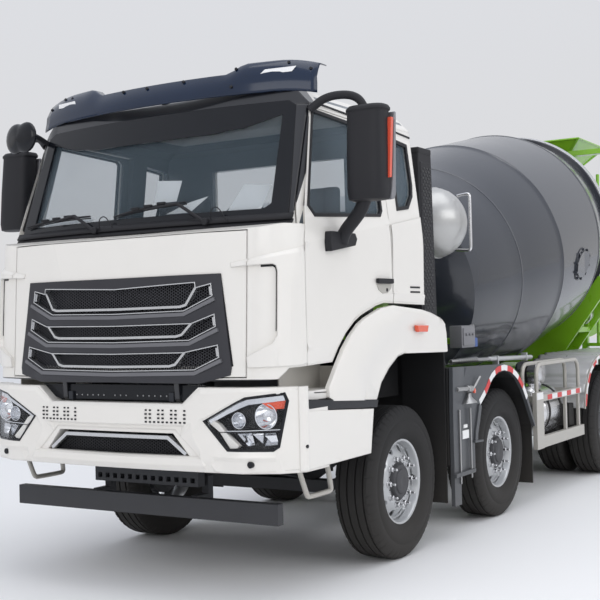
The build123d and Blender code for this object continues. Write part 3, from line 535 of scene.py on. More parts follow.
FRONT_HUB = [(0.088, 0.137), (0.076, 0.137), (0.02, 0.2), (-0.06, 0.2), (-0.06, 0.05), (0.12, 0.0),
             (0.126, 0.03), (0.126, 0.074),
             (0.12, 0.084), (0.112, 0.088), (0.112, 0.112), (0.104, 0.118), (0.088, 0.122)]
REAR_HUB = [(-0.1, 0.137), (-0.14, 0.137), (-0.2, 0.2), (-0.24, 0.2), (-0.3, 0.12), (-0.3, 0.056),
            (0.05, 0.0), (0.056, 0.03),
            (0.054, 0.09), (0.03, 0.1), (-0.06, 0.105), (-0.075, 0.128), (-0.1, 0.132)]


def wheel_disc(centres, outward, twin):
    def build(made):
        for centre in centres:
            add_turned(made, SINGLE_RIM + [(0.05, 0.262), (-0.05, 0.262), (-0.09, 0.27)], centre,
                       (0, outward, 0), UP, 96)
        profile = [(-a, r) for a, r in disc_profile(0.10)] if twin else disc_profile(0.088)
        holed_disc(made, (centres[0], (0, outward, 0), UP), profile, 0.226, 10, 0.0255, 0.014)

    return build


for side, outward in SIDES.items():
    for axle in "1234":
        twin = axle in "34"
        body = f"wheel_{axle}_{side}"
        tyre_node = f"tyres_{axle}_{side}" if twin else f"tyre_{axle}_{side}"
        rim_node = f"rims_{axle}_{side}" if twin else f"rim_{axle}_{side}"
        low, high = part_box(tyre_node)
        x, z = (low.x + high.x) / 2, (low.z + high.z) / 2
        edge = high.y if outward > 0 else low.y
        outer = Vector((x, edge - outward * 0.15, z))
        centres = [outer]
        if twin:
            far = low.y if outward > 0 else high.y
            centres.append(Vector((x, far + outward * 0.15, z)))
        piece(f"tread_{axle}_{side}", body, "tyre", tyre_mesh(centres, outward), [tyre_node])
        piece(f"wheel_disc_{axle}_{side}", body, "wheel",
              solid(wheel_disc(centres, outward, twin), smooth=32), [rim_node])

        def hub(made):
            add_turned(made, REAR_HUB if twin else FRONT_HUB, outer, (0, outward, 0), UP, 64)

        def nuts(made):
            add_nuts(made, outer, outward, -0.1 if twin else 0.088, 0.163, 10, 0.018, 0.038)

        piece(f"hub_{axle}_{side}", body, "engine", solid(hub, smooth=32))
        piece(f"wheel_nuts_{axle}_{side}", body, "bright", solid(nuts, smooth=32))

# ---------------------------------------------------------------- the cab's face


def face_x(y, z):
    """Front surface of the cab, forward of the first axle."""
    return min(1.692 - 0.0521 * (z - 1.25) - y * y / 10.1, 1.69 - 0.08636 * (z - 1.31))


BUMPER_BOW = (0.93**2 + 0.04**2) / 0.08


def bumper_x(y, z):
    """Front surface of the bumper."""
    y = abs(y)
    if y < 0.93:
        return 1.65 + math.sqrt(BUMPER_BOW**2 - y * y) - (BUMPER_BOW - 0.04)
    if y < 1.13:
        return 1.65 - (y - 0.93) * 0.45
    return 1.56 - (y - 1.13) * 1.143


def both_sides(half):
    """An outline on the left, from the middle outwards and back, closed by its mirror image."""
    return [(y, z) for y, z in half] + [(-y, z) for y, z in reversed(half) if y > 1e-6]


def fine_line(points, longest=0.07, closed=True):
    """The same line with long stretches divided."""
    ends = points[1:] + points[:1] if closed else points[1:]
    out = []
    for a, b in zip(points, ends):
        length = math.dist(a[:2], b[:2])
        count = max(1, math.ceil(length / longest))
        for i in range(count):
            t = i / count
            out.append(tuple(p + (q - p) * t for p, q in zip(a, b)))
    if not closed:
        out.append(points[-1])
    return out


def inside(point, ring):
    """Whether a flat point lies within a closed ring."""
    hit = False
    for a, b in zip(ring, ring[1:] + ring[:1]):
        if (a[1] > point[1]) != (b[1] > point[1]):
            if point[0] < (b[0] - a[0]) * (point[1] - a[1]) / (b[1] - a[1]) + a[0]:
                hit = not hit
    return hit


def triangulated(outline, holes, creases, longest=0.07):
    """Flat points, faces without the holes, and how far out each point stands.

    The outline, holes and creases hold (u, v) or (u, v, out) points.
    """
    coords, edges, push = [], [], []
    for points, closed in [(outline, True)] + [(h, True) for h in holes] + [(c, False) for c in creases]:
        full = [tuple(p) + (0.0,) * (3 - len(p)) for p in points]
        start = len(coords)
        for p in fine_line(full, longest, closed):
            coords.append(Vector(p[:2]))
            push.append(p[2])
        count = len(coords) - start
        edges.extend((start + i, start + (i + 1) % count) for i in range(count if closed else count - 1))
    verts, _, faces, origin, _, _ = delaunay_2d_cdt(coords, edges, [], 0, 1e-5)
    kept = []
    for face in faces:
        centre = sum((verts[i] for i in face), Vector((0, 0))) / len(face)
        if inside(centre, outline) and not any(inside(centre, hole) for hole in holes):
            kept.append(face)
    return verts, kept, [max([push[i] for i in source] or [0.0], key=abs) for source in origin]


def panel_mesh(made, angle):
    """A panel's mesh: flat stretches joined, edges sharp from an angle in degrees."""
    bmesh.ops.dissolve_limit(made, angle_limit=math.radians(0.4), verts=made.verts, edges=made.edges)
    mesh = bpy.data.meshes.new("panel")
    made.to_mesh(mesh)
    made.free()
    mesh.shade_smooth()
    mesh.set_sharp_from_angle(angle=math.radians(angle))
    return mesh


def pierced(outline, holes, surface, creases=(), depth=0.03, outset=0.0):
    """A panel on a surface(y, z), with holes; creases are (y, z, forward) lines that stand out of it."""
    verts, faces, outs = triangulated(outline, holes, creases)
    made = bmesh.new()
    spots = [made.verts.new(at(surface(v.x, v.y) + outset + out, v.x, v.y)) for v, out in zip(verts, outs)]
    for face in faces:
        made.faces.new([spots[i] for i in face])
    for v in [v for v in made.verts if not v.link_faces]:
        made.verts.remove(v)
    for face in made.faces:
        face.normal_update()
        if face.normal.x < 0:
            face.normal_flip()
    if depth:
        # the back is the front carried rearwards, so the edges are square
        border = [e for e in made.edges if len(e.link_faces) == 1]
        for v in bmesh.ops.extrude_edge_only(made, edges=border)["geom"]:
            if isinstance(v, bmesh.types.BMVert):
                v.co.x -= depth
    return panel_mesh(made, 14)


def strip(made, points, width, put, front, back, closed=False):
    """A flat strip along (u, v) points, laid by put(u, v, out), from front to back of the surface."""
    rows = []
    points = fine_line(points, closed=closed)
    count = len(points)
    for i, p in enumerate(points):
        before = points[i - 1] if i or closed else p
        after = points[(i + 1) % count] if i < count - 1 or closed else p
        a = Vector((p[0] - before[0], p[1] - before[1]))
        b = Vector((after[0] - p[0], after[1] - p[1]))
        a = a if a.length > 1e-9 else b
        b = b if b.length > 1e-9 else a
        a, b = a.normalized(), b.normalized()
        normal = Vector((-a.y, a.x)) + Vector((-b.y, b.x))
        normal = normal / max(0.5, normal.length_squared / 2)
        rows.append([made.verts.new(put(p[0] + normal.x * width * s, p[1] + normal.y * width * s, out))
                     for s, out in ((0.5, front), (-0.5, front), (-0.5, -back), (0.5, -back))])
    for a, b in list(zip(rows, rows[1:] + rows[:1])) if closed else list(zip(rows, rows[1:])):
        for i in range(4):
            j = (i + 1) % 4
            made.faces.new((a[i], a[j], b[j], b[i]))
    if not closed:
        made.faces.new(rows[0])
        made.faces.new(rows[-1][::-1])


def ribbon(made, points, width, surface, front, back, closed=False):
    """A strip that follows (y, z) points on a surface(y, z) that faces forward."""
    strip(made, points, width, lambda y, z, out: at(surface(y, z) + out, y, z), front, back, closed)


def honeycomb(made, outline, surface, cell, wall, out, depth=0.006):
    """Six-sided mesh over the (y, z) outline: open cells with real walls."""
    ys, zs = [p[0] for p in outline], [p[1] for p in outline]

    def inside(y, z):
        hit = False
        for (ay, az), (by, bz) in zip(outline, outline[1:] + outline[:1]):
            if (az > z) != (bz > z) and y < (by - ay) * (z - az) / (bz - az) + ay:
                hit = not hit
        return hit

    step_y, step_z = cell * 1.5, cell * math.sqrt(3)
    column = 0
    y = min(ys)
    while y < max(ys):
        z = min(zs) + (step_z / 2 if column % 2 else 0)
        while z < max(zs):
            if inside(y, z):
                rings = []
                for radius, back in ((cell, 0), (cell - wall, 0), (cell - wall, depth)):
                    ring_points = []
                    for k in range(6):
                        angle = math.pi / 3 * k
                        yy, zz = y + radius * math.cos(angle), z + radius * math.sin(angle)
                        ring_points.append(made.verts.new(at(surface(yy, zz) + out - back, yy, zz)))
                    rings.append(ring_points)
                for a, b in zip(rings, rings[1:]):
                    for k in range(6):
                        made.faces.new((a[k], a[(k + 1) % 6], b[(k + 1) % 6], b[k]))
            z += step_z
        y += step_y
        column += 1


def window(row):
    """Opening in one row of the grille, its left half from the middle."""
    drop, grow, close = 0.172 * row, 0.024 * row, (0, 0.026, 0.074)[row]
    top = [(0, 1.876), (0.606, 1.899), (0.610, 1.866)] if row == 0 else [(0, 1.8205 - drop),
                                                                         (0.6 - close + 0.01, 1.8265 - drop)]
    return top + [(0.713 + grow, 1.888 - drop * 1.055), (0.723 + grow, 1.816 - drop * 1.055),
                  (0.532 + grow * 1.6, 1.731 - drop * 1.02), (0, 1.7225 - drop * 1.02)]


GRILLE_EDGE = [(0, 1.944), (0.772, 1.946), (0.798, 1.734), (0.848, 1.389), (0.84, 1.347), (0.64, 1.298),
               (0, 1.303)]
BARS = [[(0, 1.690 - 0.172 * k, 0.016), (0.55, 1.694 - 0.172 * k, 0.016),
         (0.765 + 0.024 * k, 1.79 - 0.172 * k, 0.004)]
        for k in range(2)]
LOW_BAR = [(0, 1.333, 0.018), (0.6, 1.34, 0.018), (0.8, 1.40, 0.004)]
creases = []
for half in BARS + [LOW_BAR]:
    creases.append([(-y, z, f) for y, z, f in reversed(half) if y] + half)
body = pierced(both_sides(GRILLE_EDGE), [both_sides(window(k)) for k in range(3)], face_x, creases, 0.03,
               0.008)
piece("grille_body", "front_lid", "grille", body, ["grille"])


def grille_parts(made_trim, made_mesh):
    for k in range(3):
        hole = window(k)
        drop, close = 0.172 * k * 1.03, (0, 0.026, 0.07)[k]
        full = both_sides(hole)
        ribbon(made_trim, full, 0.006, face_x, 0.014, 0.03, closed=True)
        start = (0.606, 1.868) if k == 0 else (0.606 - close, 1.828 - 0.172 * k)
        arm = [start, (0.54 - close, 1.766 - drop), (0.5 - close, 1.756 - drop), (0, 1.752 - drop)]
        ribbon(made_trim, [(-y, z) for y, z in arm] + arm[-2::-1], 0.015, face_x, 0.006, 0.04)
        honeycomb(made_mesh, full, face_x, 0.0105, 0.0032, -0.034)


# lighter strips along the top edges of the grille bars: painted highlight on their upward faces
def painted_bar_highlights(made):
    for k in range(3):
        drop, grow = 0.172 * k, 0.024 * k
        half = [(0.742 + grow, 1.797 - drop * 1.055), (0.538 + grow * 1.6, 1.710 - drop * 1.02),
                (0, 1.7015 - drop * 1.02)]
        ribbon(made, [(-y, z) for y, z in half] + half[-2::-1], 0.022, face_x, 0.0245, 0.03)


piece("painted_bar_highlights", "front_lid", "bar_highlight_paint", solid(painted_bar_highlights))


def bar_ends(made):
    for k in range(3):
        drop, grow = 0.172 * k, 0.024 * k
        for side in (1, -1):
            ribbon(made,
                   [(side * (0.706 + grow), 1.872 - drop * 1.055),
                    (side * (0.714 + grow), 1.822 - drop * 1.055)], 0.022, face_x, 0.006, 0.03)


piece("bar_ends", "front_lid", "grille_trim", solid(bar_ends))

trim, net = bmesh.new(), bmesh.new()
grille_parts(trim, net)
for made, name, key in ((trim, "grille_trim", "grille_trim"), (net, "grille_net", "grille")):
    bmesh.ops.recalc_face_normals(made, faces=made.faces)
    mesh = bpy.data.meshes.new(name)
    made.to_mesh(mesh)
    made.free()
    piece(name, "front_lid", key, mesh)


def dark_back(made):
    outline = [at(1.57, y, z) for y, z in ((-0.7, 1.93), (0.7, 1.93), (0.76, 1.36), (-0.76, 1.36))]
    add_prism(made, outline, (-0.004, 0, 0))


piece("grille_back", "front_lid", "gloss_black", solid(dark_back))

# ---------------------------------------------------------------- bumper and lamps

LAMP = [(0.681, 1.081), (0.82, 1.152), (0.956, 1.217), (1.155, 1.241), (1.168, 1.197), (1.128, 0.934),
        (1.10, 0.914), (0.838, 0.914)]
INTAKE = [(0, 1.022), (0.472, 1.024), (0.635, 0.872), (0, 0.868)]
BUMPER_EDGE = [(0, 1.180), (0.525, 1.178), (0.655, 1.27), (0.93, 1.276), (1.16, 1.272), (1.222, 1.255),
               (1.226, 0.80), (0.9, 0.781), (0, 0.780)]
RELIEF = [
    [(0, 1.158, 0.016), (0.535, 1.156, 0.016), (0.665, 1.240, 0.016), (0.94, 1.252, 0.014),
     (1.15, 1.254, 0.004)],
    [(0, 1.052, 0.018), (0.552, 1.055, 0.018), (0.70, 1.105, 0.014), (0.95, 1.232, 0.010),
     (1.15, 1.2475, 0.002)],
    [(0, 1.036, -0.012), (0.50, 1.038, -0.012)],
    [(0, 0.855, 0.022), (0.665, 0.858, 0.020), (0.742, 0.79, 0.004)],
    [(0, 0.815, 0.026), (0.69, 0.818, 0.022)],
    [(0.572, 1.042, 0.008), (0.66, 0.905, 0.020), (0.768, 0.792, 0.016)],
    [(0.74, 0.876, 0.018), (0.95, 0.872, 0.018), (1.17, 0.872, 0.006)],
    [(0.76, 0.852, 0.006), (0.95, 0.848, 0.006), (1.17, 0.85, 0.0)],
]
creases = []
for half in RELIEF:
    if half[0][0] == 0:
        creases.append([(-y, z, f) for y, z, f in reversed(half[1:])] + half)
    else:
        creases += [half, [(-y, z, f) for y, z, f in half]]
lamp_holes = [LAMP, [(-y, z) for y, z in reversed(LAMP)]]
bumper_mesh = pierced(both_sides(BUMPER_EDGE), [both_sides(INTAKE)] + lamp_holes, bumper_x, creases, 0.04,
                      0.004)
piece("bumper_skin", "chassis", "white", bumper_mesh)


def bumper_trim(made):
    frame_line = [(0, 0.975), (0.408, 0.975), (0.54, 0.880)]
    ribbon(made, [(-y, z) for y, z in frame_line[::-1]] + frame_line[1:], 0.022, bumper_x, -0.006, 0.04)


def bumper_net(made):
    opening = [(0, 0.968), (0.40, 0.968), (0.53, 0.87), (0, 0.87)]
    honeycomb(made, both_sides(opening), bumper_x, 0.0105, 0.0035, -0.05)


def bumper_dark(made):
    outline = [at(1.59, y, z) for y, z in ((-0.5, 1.02), (0.5, 1.02), (0.65, 0.86), (-0.65, 0.86))]
    add_prism(made, outline, (-0.004, 0, 0))
    for centre_y in (-0.981, 0.981):
        front = at(bumper_x(centre_y, 0) + 0.02, centre_y, 0.834)
        add_turned(made, [(-0.04, 0), (-0.04, 0.019), (0.0, 0.019), (0.002, 0.016), (0.002, 0)], front, AHEAD,
                   UP, 24)
    # small square perforations in two groups
    for group in (-0.44, 0.414):
        for column in range(10):
            for row in range(4):
                if column % 3 == 2 and row != 3:
                    continue
                y, z = group + (column - 4.5) * 0.0315, 1.14 - row * 0.0235
                spot = at(bumper_x(y, z) + 0.0215 - (1.158 - z) * 0.02 + (0.004 if row else 0), y, z)
                add_block(made, spot - Vector((0.006, 0.0075, 0.005)), spot + Vector((0.0016, 0.0075, 0.005)))


piece("intake_frame", "chassis", "grille_trim", solid(bumper_trim))
piece("intake_net", "chassis", "black", solid(bumper_net))
piece("bumper_dark", "chassis", "gloss_black", solid(bumper_dark))


def under_grille(made):
    outline = [at(1.615, y, z) for y,
               z in ((-0.655, 1.286), (0.655, 1.286), (0.60, 1.215), (0.5, 1.19), (-0.5, 1.19),
                     (-0.60, 1.215))]
    add_prism(made, outline, (-0.02, 0, 0))


piece("under_grille", "chassis", "gloss_black", solid(under_grille))


def under_bolts(made):
    for k in range(19):
        if k not in (7, 11):
            add_turned(made, [(-0.01, 0), (-0.01, 0.006), (0.004, 0.005), (0.004, 0)],
                       at(1.615, -0.41 + k * 0.0455, 1.218), AHEAD, UP, 6)


piece("under_bolts", "chassis", "steel", solid(under_bolts))


def lamp_parts(mirror):
    """Everything behind one headlamp glass."""
    flip = [(y * mirror, z) for y, z in LAMP]

    def spot(y, z, back):
        return at(bumper_x(y, z) - back, y * mirror, z)

    def housing(made):
        rows = [spot(y, z, 0.09) for y, z in LAMP]
        made.faces.new([made.verts.new(p) for p in rows])
        ribbon(made, fine_line(flip), 0.012, bumper_x, 0.008, 0.09, closed=True)
        # shelf between the two rows
        ribbon(made, [(0.80 * mirror, 1.017), (1.135 * mirror, 1.027)], 0.012, bumper_x, -0.02, 0.09)

    def bright(made):
        def facing(y):
            return Vector((1, 0.25 * mirror * max(0, y - 0.8), 0)).normalized()

        for y, z, radius, back in ((0.901, 1.086, 0.048, 0.03), (1.05, 1.108, 0.074, 0.035)):
            centre = at(bumper_x(y, z) - back, y * mirror, z)
            axis = facing(y)
            add_turned(made,
                       [(-0.07, 0), (-0.062, radius * 0.55), (-0.035, radius * 0.86), (0.0, radius),
                        (0.012, radius),
                              (0.012, radius * 0.93), (-0.03, radius * 0.78), (-0.055, radius * 0.45),
                              (-0.06, 0)],
                       centre, axis, (0, 0, 1), 40)
        for low, high in ((0.915, 0.99), (1.003, 1.118)):
            shape = [(low - 0.03, 1.008), (high - 0.02, 1.012), (high - 0.005, 0.945), (low + 0.035, 0.938)]
            centre_y, centre_z = (low + high) / 2, 0.975
            ring_out = [made.verts.new(spot(y, z, 0.03)) for y, z in shape]
            ring_in = [made.verts.new(spot(centre_y + (y - centre_y) * 0.5, centre_z + (z - centre_z) * 0.5,
                                           0.075)) for y, z in shape]
            for i in range(4):
                j = (i + 1) % 4
                made.faces.new((ring_out[i], ring_out[j], ring_in[j], ring_in[i]))
            made.faces.new(ring_in)
        # strips along the upper edge and the shelf
        ribbon(made,
               [(0.70 * mirror, 1.076), (0.83 * mirror, 1.138), (0.96 * mirror, 1.192),
                (1.15 * mirror, 1.214)],
               0.030, bumper_x, -0.012, 0.03)
        ribbon(made, [(0.80 * mirror, 1.0225), (1.135 * mirror, 1.0325)], 0.004, bumper_x, -0.018, 0.022)

    def white_bar(made):
        add_prism(made,
                  [spot(y, z, 0.012) for y,
                   z in ((0.69, 1.078), (0.74, 1.082), (0.775, 1.062), (0.815, 1.02), (0.776, 1.018))],
                  (-0.03, 0, 0))
        add_prism(made,
                  [spot(y, z, 0.012) for y,
                   z in ((0.778, 1.014), (0.817, 1.014), (0.905, 0.94), (0.89, 0.925), (0.845, 0.922))],
                  (-0.03, 0, 0))

    def signal(made):
        add_prism(made,
                  [spot(y, z, 0.014) for y,
                   z in ((1.035, 1.186), (1.158, 1.204), (1.155, 1.152), (1.085, 1.15))], (-0.02, 0, 0))

    def lens_eye(made):
        centre = at(bumper_x(0.901, 1.086) - 0.055, 0.901 * mirror, 1.086)
        add_turned(made, [(0, 0), (0, 0.034), (0.012, 0.031), (0.022, 0.02), (0.026, 0.008), (0.0265, 0)],
                   centre, AHEAD, UP, 32)
        centre = at(bumper_x(1.05, 1.108) - 0.085, 1.05 * mirror, 1.108)
        add_turned(made, [(0, 0), (0, 0.02), (0.03, 0.016), (0.034, 0)], centre, AHEAD, UP, 24)

    name = "left" if mirror > 0 else "right"
    piece(f"lamp_housing_{name}", "chassis", "gloss_black", solid(housing), ["lamps"])
    piece(f"lamp_bright_{name}", "chassis", "chrome", solid(bright, smooth=40))
    piece(f"lamp_strip_{name}", "chassis", "white_plastic", solid(white_bar))
    piece(f"lamp_signal_{name}", "chassis", "orange", solid(signal))
    piece(f"lamp_eye_{name}", "chassis", "lens", solid(lens_eye, smooth=60))
    outline = flip if mirror > 0 else flip[::-1]
    piece(f"lamp_glass_{name}", "chassis", "lens", pierced(outline, [], bumper_x, (), 0.0, 0.003))


for mirror in (1, -1):
    lamp_parts(mirror)


def tail_lamps(made):
    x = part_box("lamps")[0].x
    for side in (1, -1):
        add_block(made, (x, side * 0.80, 0.565), (x + 0.03, side * 1.15, 0.675), 0.008)


piece("tail_lamps", "chassis", "red", solid(tail_lamps))

# ---------------------------------------------------------------- visor, windscreen and wipers


def visor_rows():
    """Curved band across the roof's front, its ends raised."""
    rows = []
    steps = 48
    for i in range(steps + 1):
        u = -1 + 2 * i / steps
        y = 1.143 * u
        a = abs(y)
        bow = 1.235 - 0.179 * u * u
        rise = min(1, max(0, (a - 0.52) / 0.14))
        rise = rise * rise * (3 - 2 * rise)
        droop = max(0, (a - 0.86) / 0.283) ** 2
        lip_z = 3.098 - 0.03 * droop
        top_z = 3.236 + 0.062 * rise - 0.045 * droop
        lean = 0.44 * (top_z - lip_z)
        row = []
        for t in (0.0, 0.03, 0.25, 0.5, 0.75, 0.95, 1.0, 1.08):
            z = lip_z + (top_z - lip_z) * min(t, 1.0)
            swell = 0.016 * math.sin(math.pi * min(t, 1)) + (0.012 * rise if 0.3 < t < 1 else 0)
            x = bow - lean * t + swell - (0.06 if t > 1 else 0)
            row.append(at(x, y * (1 - 0.012 * t), z - (0.012 if t == 0 else 0)))
        rows.append(row)
    return rows


shade = piece("visor_shade", "cab", "visor", solid(sheet_of(visor_rows()), smooth=50), ["roof_visor"])
thick(shade, 0.006)


def visor_fixings(made):
    for y, z in ((-0.942, 3.27), (-0.85, 3.262), (-0.294, 3.22), (-0.081, 3.215), (0.217, 3.22),
                 (0.593, 3.262),
                 (0.589, 3.14), (0.942, 3.27), (1.09, 3.215), (-1.09, 3.215)):
        u = y / 1.143
        x = 1.235 - 0.179 * u * u - 0.44 * (z - 3.098) + 0.012
        add_turned(made, [(-0.01, 0), (-0.01, 0.010), (0.008, 0.010), (0.010, 0.007), (0.010, 0)],
                   at(x, y, z), (1, 0, 0.35), (0, 1, 0), 12)
    for y in (-0.7, 0.0, 0.7):
        add_block(made, at(0.93, y - 0.02, 3.10), at(1.12, y + 0.02, 3.125), 0.004)


piece("visor_fixings", "cab", "black", solid(visor_fixings, smooth=40))


def visor_patches(made):
    for side in (1, -1):
        corners = []
        for y, z in ((0.80, 3.235), (1.0, 3.24), (0.98, 3.205), (0.77, 3.2)):
            u = y / 1.143
            corners.append(at(1.235 - 0.179 * u * u - 0.44 * (z - 3.098) + 0.026, side * y, z))
        made.faces.new([made.verts.new(p) for p in corners])


patch = piece("visor_patches", "cab", "tape_white", solid(visor_patches))
thick(patch, 0.001)


def screen_x(y, z):
    return min(1.48 - 0.3386 * (z - 2.228), 1.481 - 0.3325 * (z - 2.228)) - y * y / 10.1


# black band round the glass: printed at its edge, and deeper at the top middle as painted shade standing for
# the shaded overhead shelf behind the glass
GLASS_EDGE = [(0, 2.262), (1.0, 2.262), (1.09, 2.30), (1.075, 2.5), (1.03, 2.985), (0.98, 3.02), (0, 3.02)]
clear = [(0, 2.335), (0.93, 2.335), (0.974, 2.365), (0.952, 2.93), (0.70, 2.862), (0.6, 2.858), (0.5, 2.842),
         (0, 2.838)]
band = pierced(both_sides(GLASS_EDGE), [both_sides(clear)], screen_x, (), 0.012, 0.004)
piece("screen_print_and_header_shade", "cab", "gloss_black", band)


def cowl(made):
    """Black scuttle under the glass, with its step."""
    for low, high, out in ((2.231, 2.262, 0.008), (2.262, 2.30, 0.014)):
        line_low, line_high = [], []
        for i in range(33):
            y = -1.13 + 2.26 * i / 32
            line_low.append(at(screen_x(y, low) + out + 0.012, y, low))
            line_high.append(at(screen_x(y, high) + out, y, high))
        sheet_of([line_low, line_high])(made)


scuttle = piece("scuttle", "cab", "black", solid(cowl, smooth=40))
thick(scuttle, 0.01)


def wiper(made, pivot, elbow, tip_a, tip_b):
    def on(y, z, out):
        return at(screen_x(y, z) + out, y, z)

    add_rod(made, on(*pivot, 0.0), on(*pivot, 0.05), 0.022, 16, 0.004)
    add_rod(made, on(*pivot, 0.04), on(*elbow, 0.045), 0.011, 10, 0.003)
    middle_point = ((tip_a[0] + tip_b[0]) / 2, (tip_a[1] + tip_b[1]) / 2)
    add_rod(made, on(*elbow, 0.045), on(*middle_point, 0.04), 0.009, 10, 0.003)
    steps = 10
    previous = None
    for i in range(steps + 1):
        t = i / steps
        y = tip_a[0] + (tip_b[0] - tip_a[0]) * t
        z = tip_a[1] + (tip_b[1] - tip_a[1]) * t + 0.012 * math.sin(math.pi * t)
        here = on(y, z, 0.026)
        if previous is not None:
            add_rod(made, previous, here, 0.0085 if 0.15 < t < 0.9 else 0.006, 8)
            low = here - Vector((0.006, 0, 0.012))
            add_rod(made, previous - Vector((0.006, 0, 0.012)), low, 0.004, 6)
        previous = here
    for t in (0.32, 0.5, 0.68):
        y, z = tip_a[0] + (tip_b[0] - tip_a[0]) * t, tip_a[1] + (tip_b[1] - tip_a[1]) * t + 0.022
        spot = on(y, z, 0.04)
        add_block(made, spot - Vector((0.012, 0.03, 0.008)), spot + Vector((0.008, 0.03, 0.008)), 0.003)


def wipers(made):
    wiper(made, (0.571, 2.272), (0.348, 2.40), (-0.16, 2.352), (0.40, 2.408))
    wiper(made, (-0.30, 2.272), (-0.52, 2.385), (-1.03, 2.345), (-0.38, 2.372))


piece("wipers", "cab", "black", solid(wipers, smooth=40))
for side, y in (("a", 0.60), ("b", -0.27)):
    start = at(screen_x(y, 2.28) + 0.02, y, 2.275)
    pipe(f"washer_line_{side}", "cab", "black",
         [start, start + Vector((0.03, 0.01, 0.06)), start + Vector((0.02, 0.06, 0.09)),
                                                   start + Vector((0.01, 0.10, 0.03)),
                                                   start + Vector((0.0, 0.12, -0.01))], 0.0035)


def papers(made):
    sheets = [[(0.102, 2.574), (0.289, 2.56), (0.284, 2.425), (0.111, 2.421)],
              [(0.51, 2.443), (0.37, 2.41), (0.22, 2.345), (0.402, 2.345)],
              [(0.746, 2.499), (0.932, 2.485), (0.893, 2.338), (0.672, 2.338)],
              [(-0.9, 2.40), (-0.42, 2.372), (-0.40, 2.343), (-0.92, 2.343)]]
    for outline in sheets:
        corners = [made.verts.new(at(screen_x(y, z) - 0.03 - (0.01 if k in (0, 1) else 0), y, z)) for k,
                   (y, z) in enumerate(outline)]
        made.faces.new(corners)


leaves = piece("papers", "cab", "paper", solid(papers))
thick(leaves, 0.0006)


# ---------------------------------------------------------------- laid-on skins


def skin(outline, holes, put, creases=(), depth=0.02, angle=16, longest=0.07):
    """A panel laid on a surface by put(u, v, out); points are (u, v) or (u, v, out)."""
    verts, faces, outs = triangulated(outline, holes, creases, longest)
    made = bmesh.new()
    spots = [made.verts.new(put(v.x, v.y, out)) for v, out in zip(verts, outs)]
    flat = {spot: (v.x, v.y, out) for spot, v, out in zip(spots, verts, outs)}

    def faces_in(face):
        u, v, out = flat[face.verts[0]]
        return face.normal.dot(put(u, v, out + 0.01) - put(u, v, out)) < 0

    for face in faces:
        made.faces.new([spots[i] for i in face])
    for v in [v for v in made.verts if not v.link_faces]:
        flat.pop(v)
        made.verts.remove(v)
    for face in made.faces:
        face.normal_update()
        if faces_in(face):
            face.normal_flip()
    if depth:
        backs = {}
        for edge in [e for e in made.edges if len(e.link_faces) == 1]:
            for v in edge.verts:
                if v not in backs:
                    u, w, out = flat[v]
                    backs[v] = made.verts.new(put(u, w, out - depth))
            a, b = edge.verts
            made.faces.new((a, b, backs[b], backs[a]))
        bmesh.ops.recalc_face_normals(made, faces=made.faces)
        if faces_in(max((f for f in made.faces if all(v in flat for v in f.verts)),
                        key=lambda f: f.calc_area())):
            bmesh.ops.reverse_faces(made, faces=made.faces)
    return panel_mesh(made, angle)


def side_put(side, base):
    """Places (x, z, out) on one side of the truck; base is y, or y as a function of z."""

    def put(u, v, out):
        return at(u, side * ((base(v) if callable(base) else base) + out), v)

    return put


def cab_y(z):
    """The cab's side wall."""
    return 1.19 - max(0.0, z - 2.2) * 0.115


# ---------------------------------------------------------------- front fenders and entry step

FENDER = [(1.141, 1.243), (1.03, 1.374), (0.94, 1.474), (0.85, 1.550), (0.735, 1.624), (0.645, 1.662),
          (0.43, 1.724), (0.262, 1.742),
          (-0.183, 1.711), (-0.341, 1.687), (-0.486, 1.651), (-0.560, 1.598), (-0.592, 1.54), (-0.605, 1.404)]
ARCH = [(-0.588, 1.398), (0.108, 1.414), (0.209, 1.396), (0.342, 1.324), (0.46, 1.232), (0.518, 1.139),
        (0.53, 1.128)]
LIP_OUT = [(-0.60, 1.60), (-0.50, 1.632), (-0.2, 1.650), (0.06, 1.640), (0.197, 1.612), (0.433, 1.518),
           (0.59, 1.405), (0.687, 1.275),
           (0.722, 1.165)]
LIP_IN = [(-0.60, 1.545), (-0.50, 1.568), (-0.2, 1.588), (0.06, 1.582), (0.20, 1.556), (0.387, 1.482),
          (0.522, 1.384), (0.631, 1.268),
          (0.68, 1.155)]
LINER = [(-0.598, 1.40), (-0.575, 1.432), (-0.52, 1.452), (0.13, 1.452), (0.27, 1.405), (0.412, 1.335),
         (0.50, 1.255), (0.566, 1.172),
         (0.634, 1.045), (0.672, 0.79)]
SKIRT = [(1.432, 1.133), (1.0, 1.105), (0.60, 1.079), (0.652, 0.80), (1.432, 0.79)]

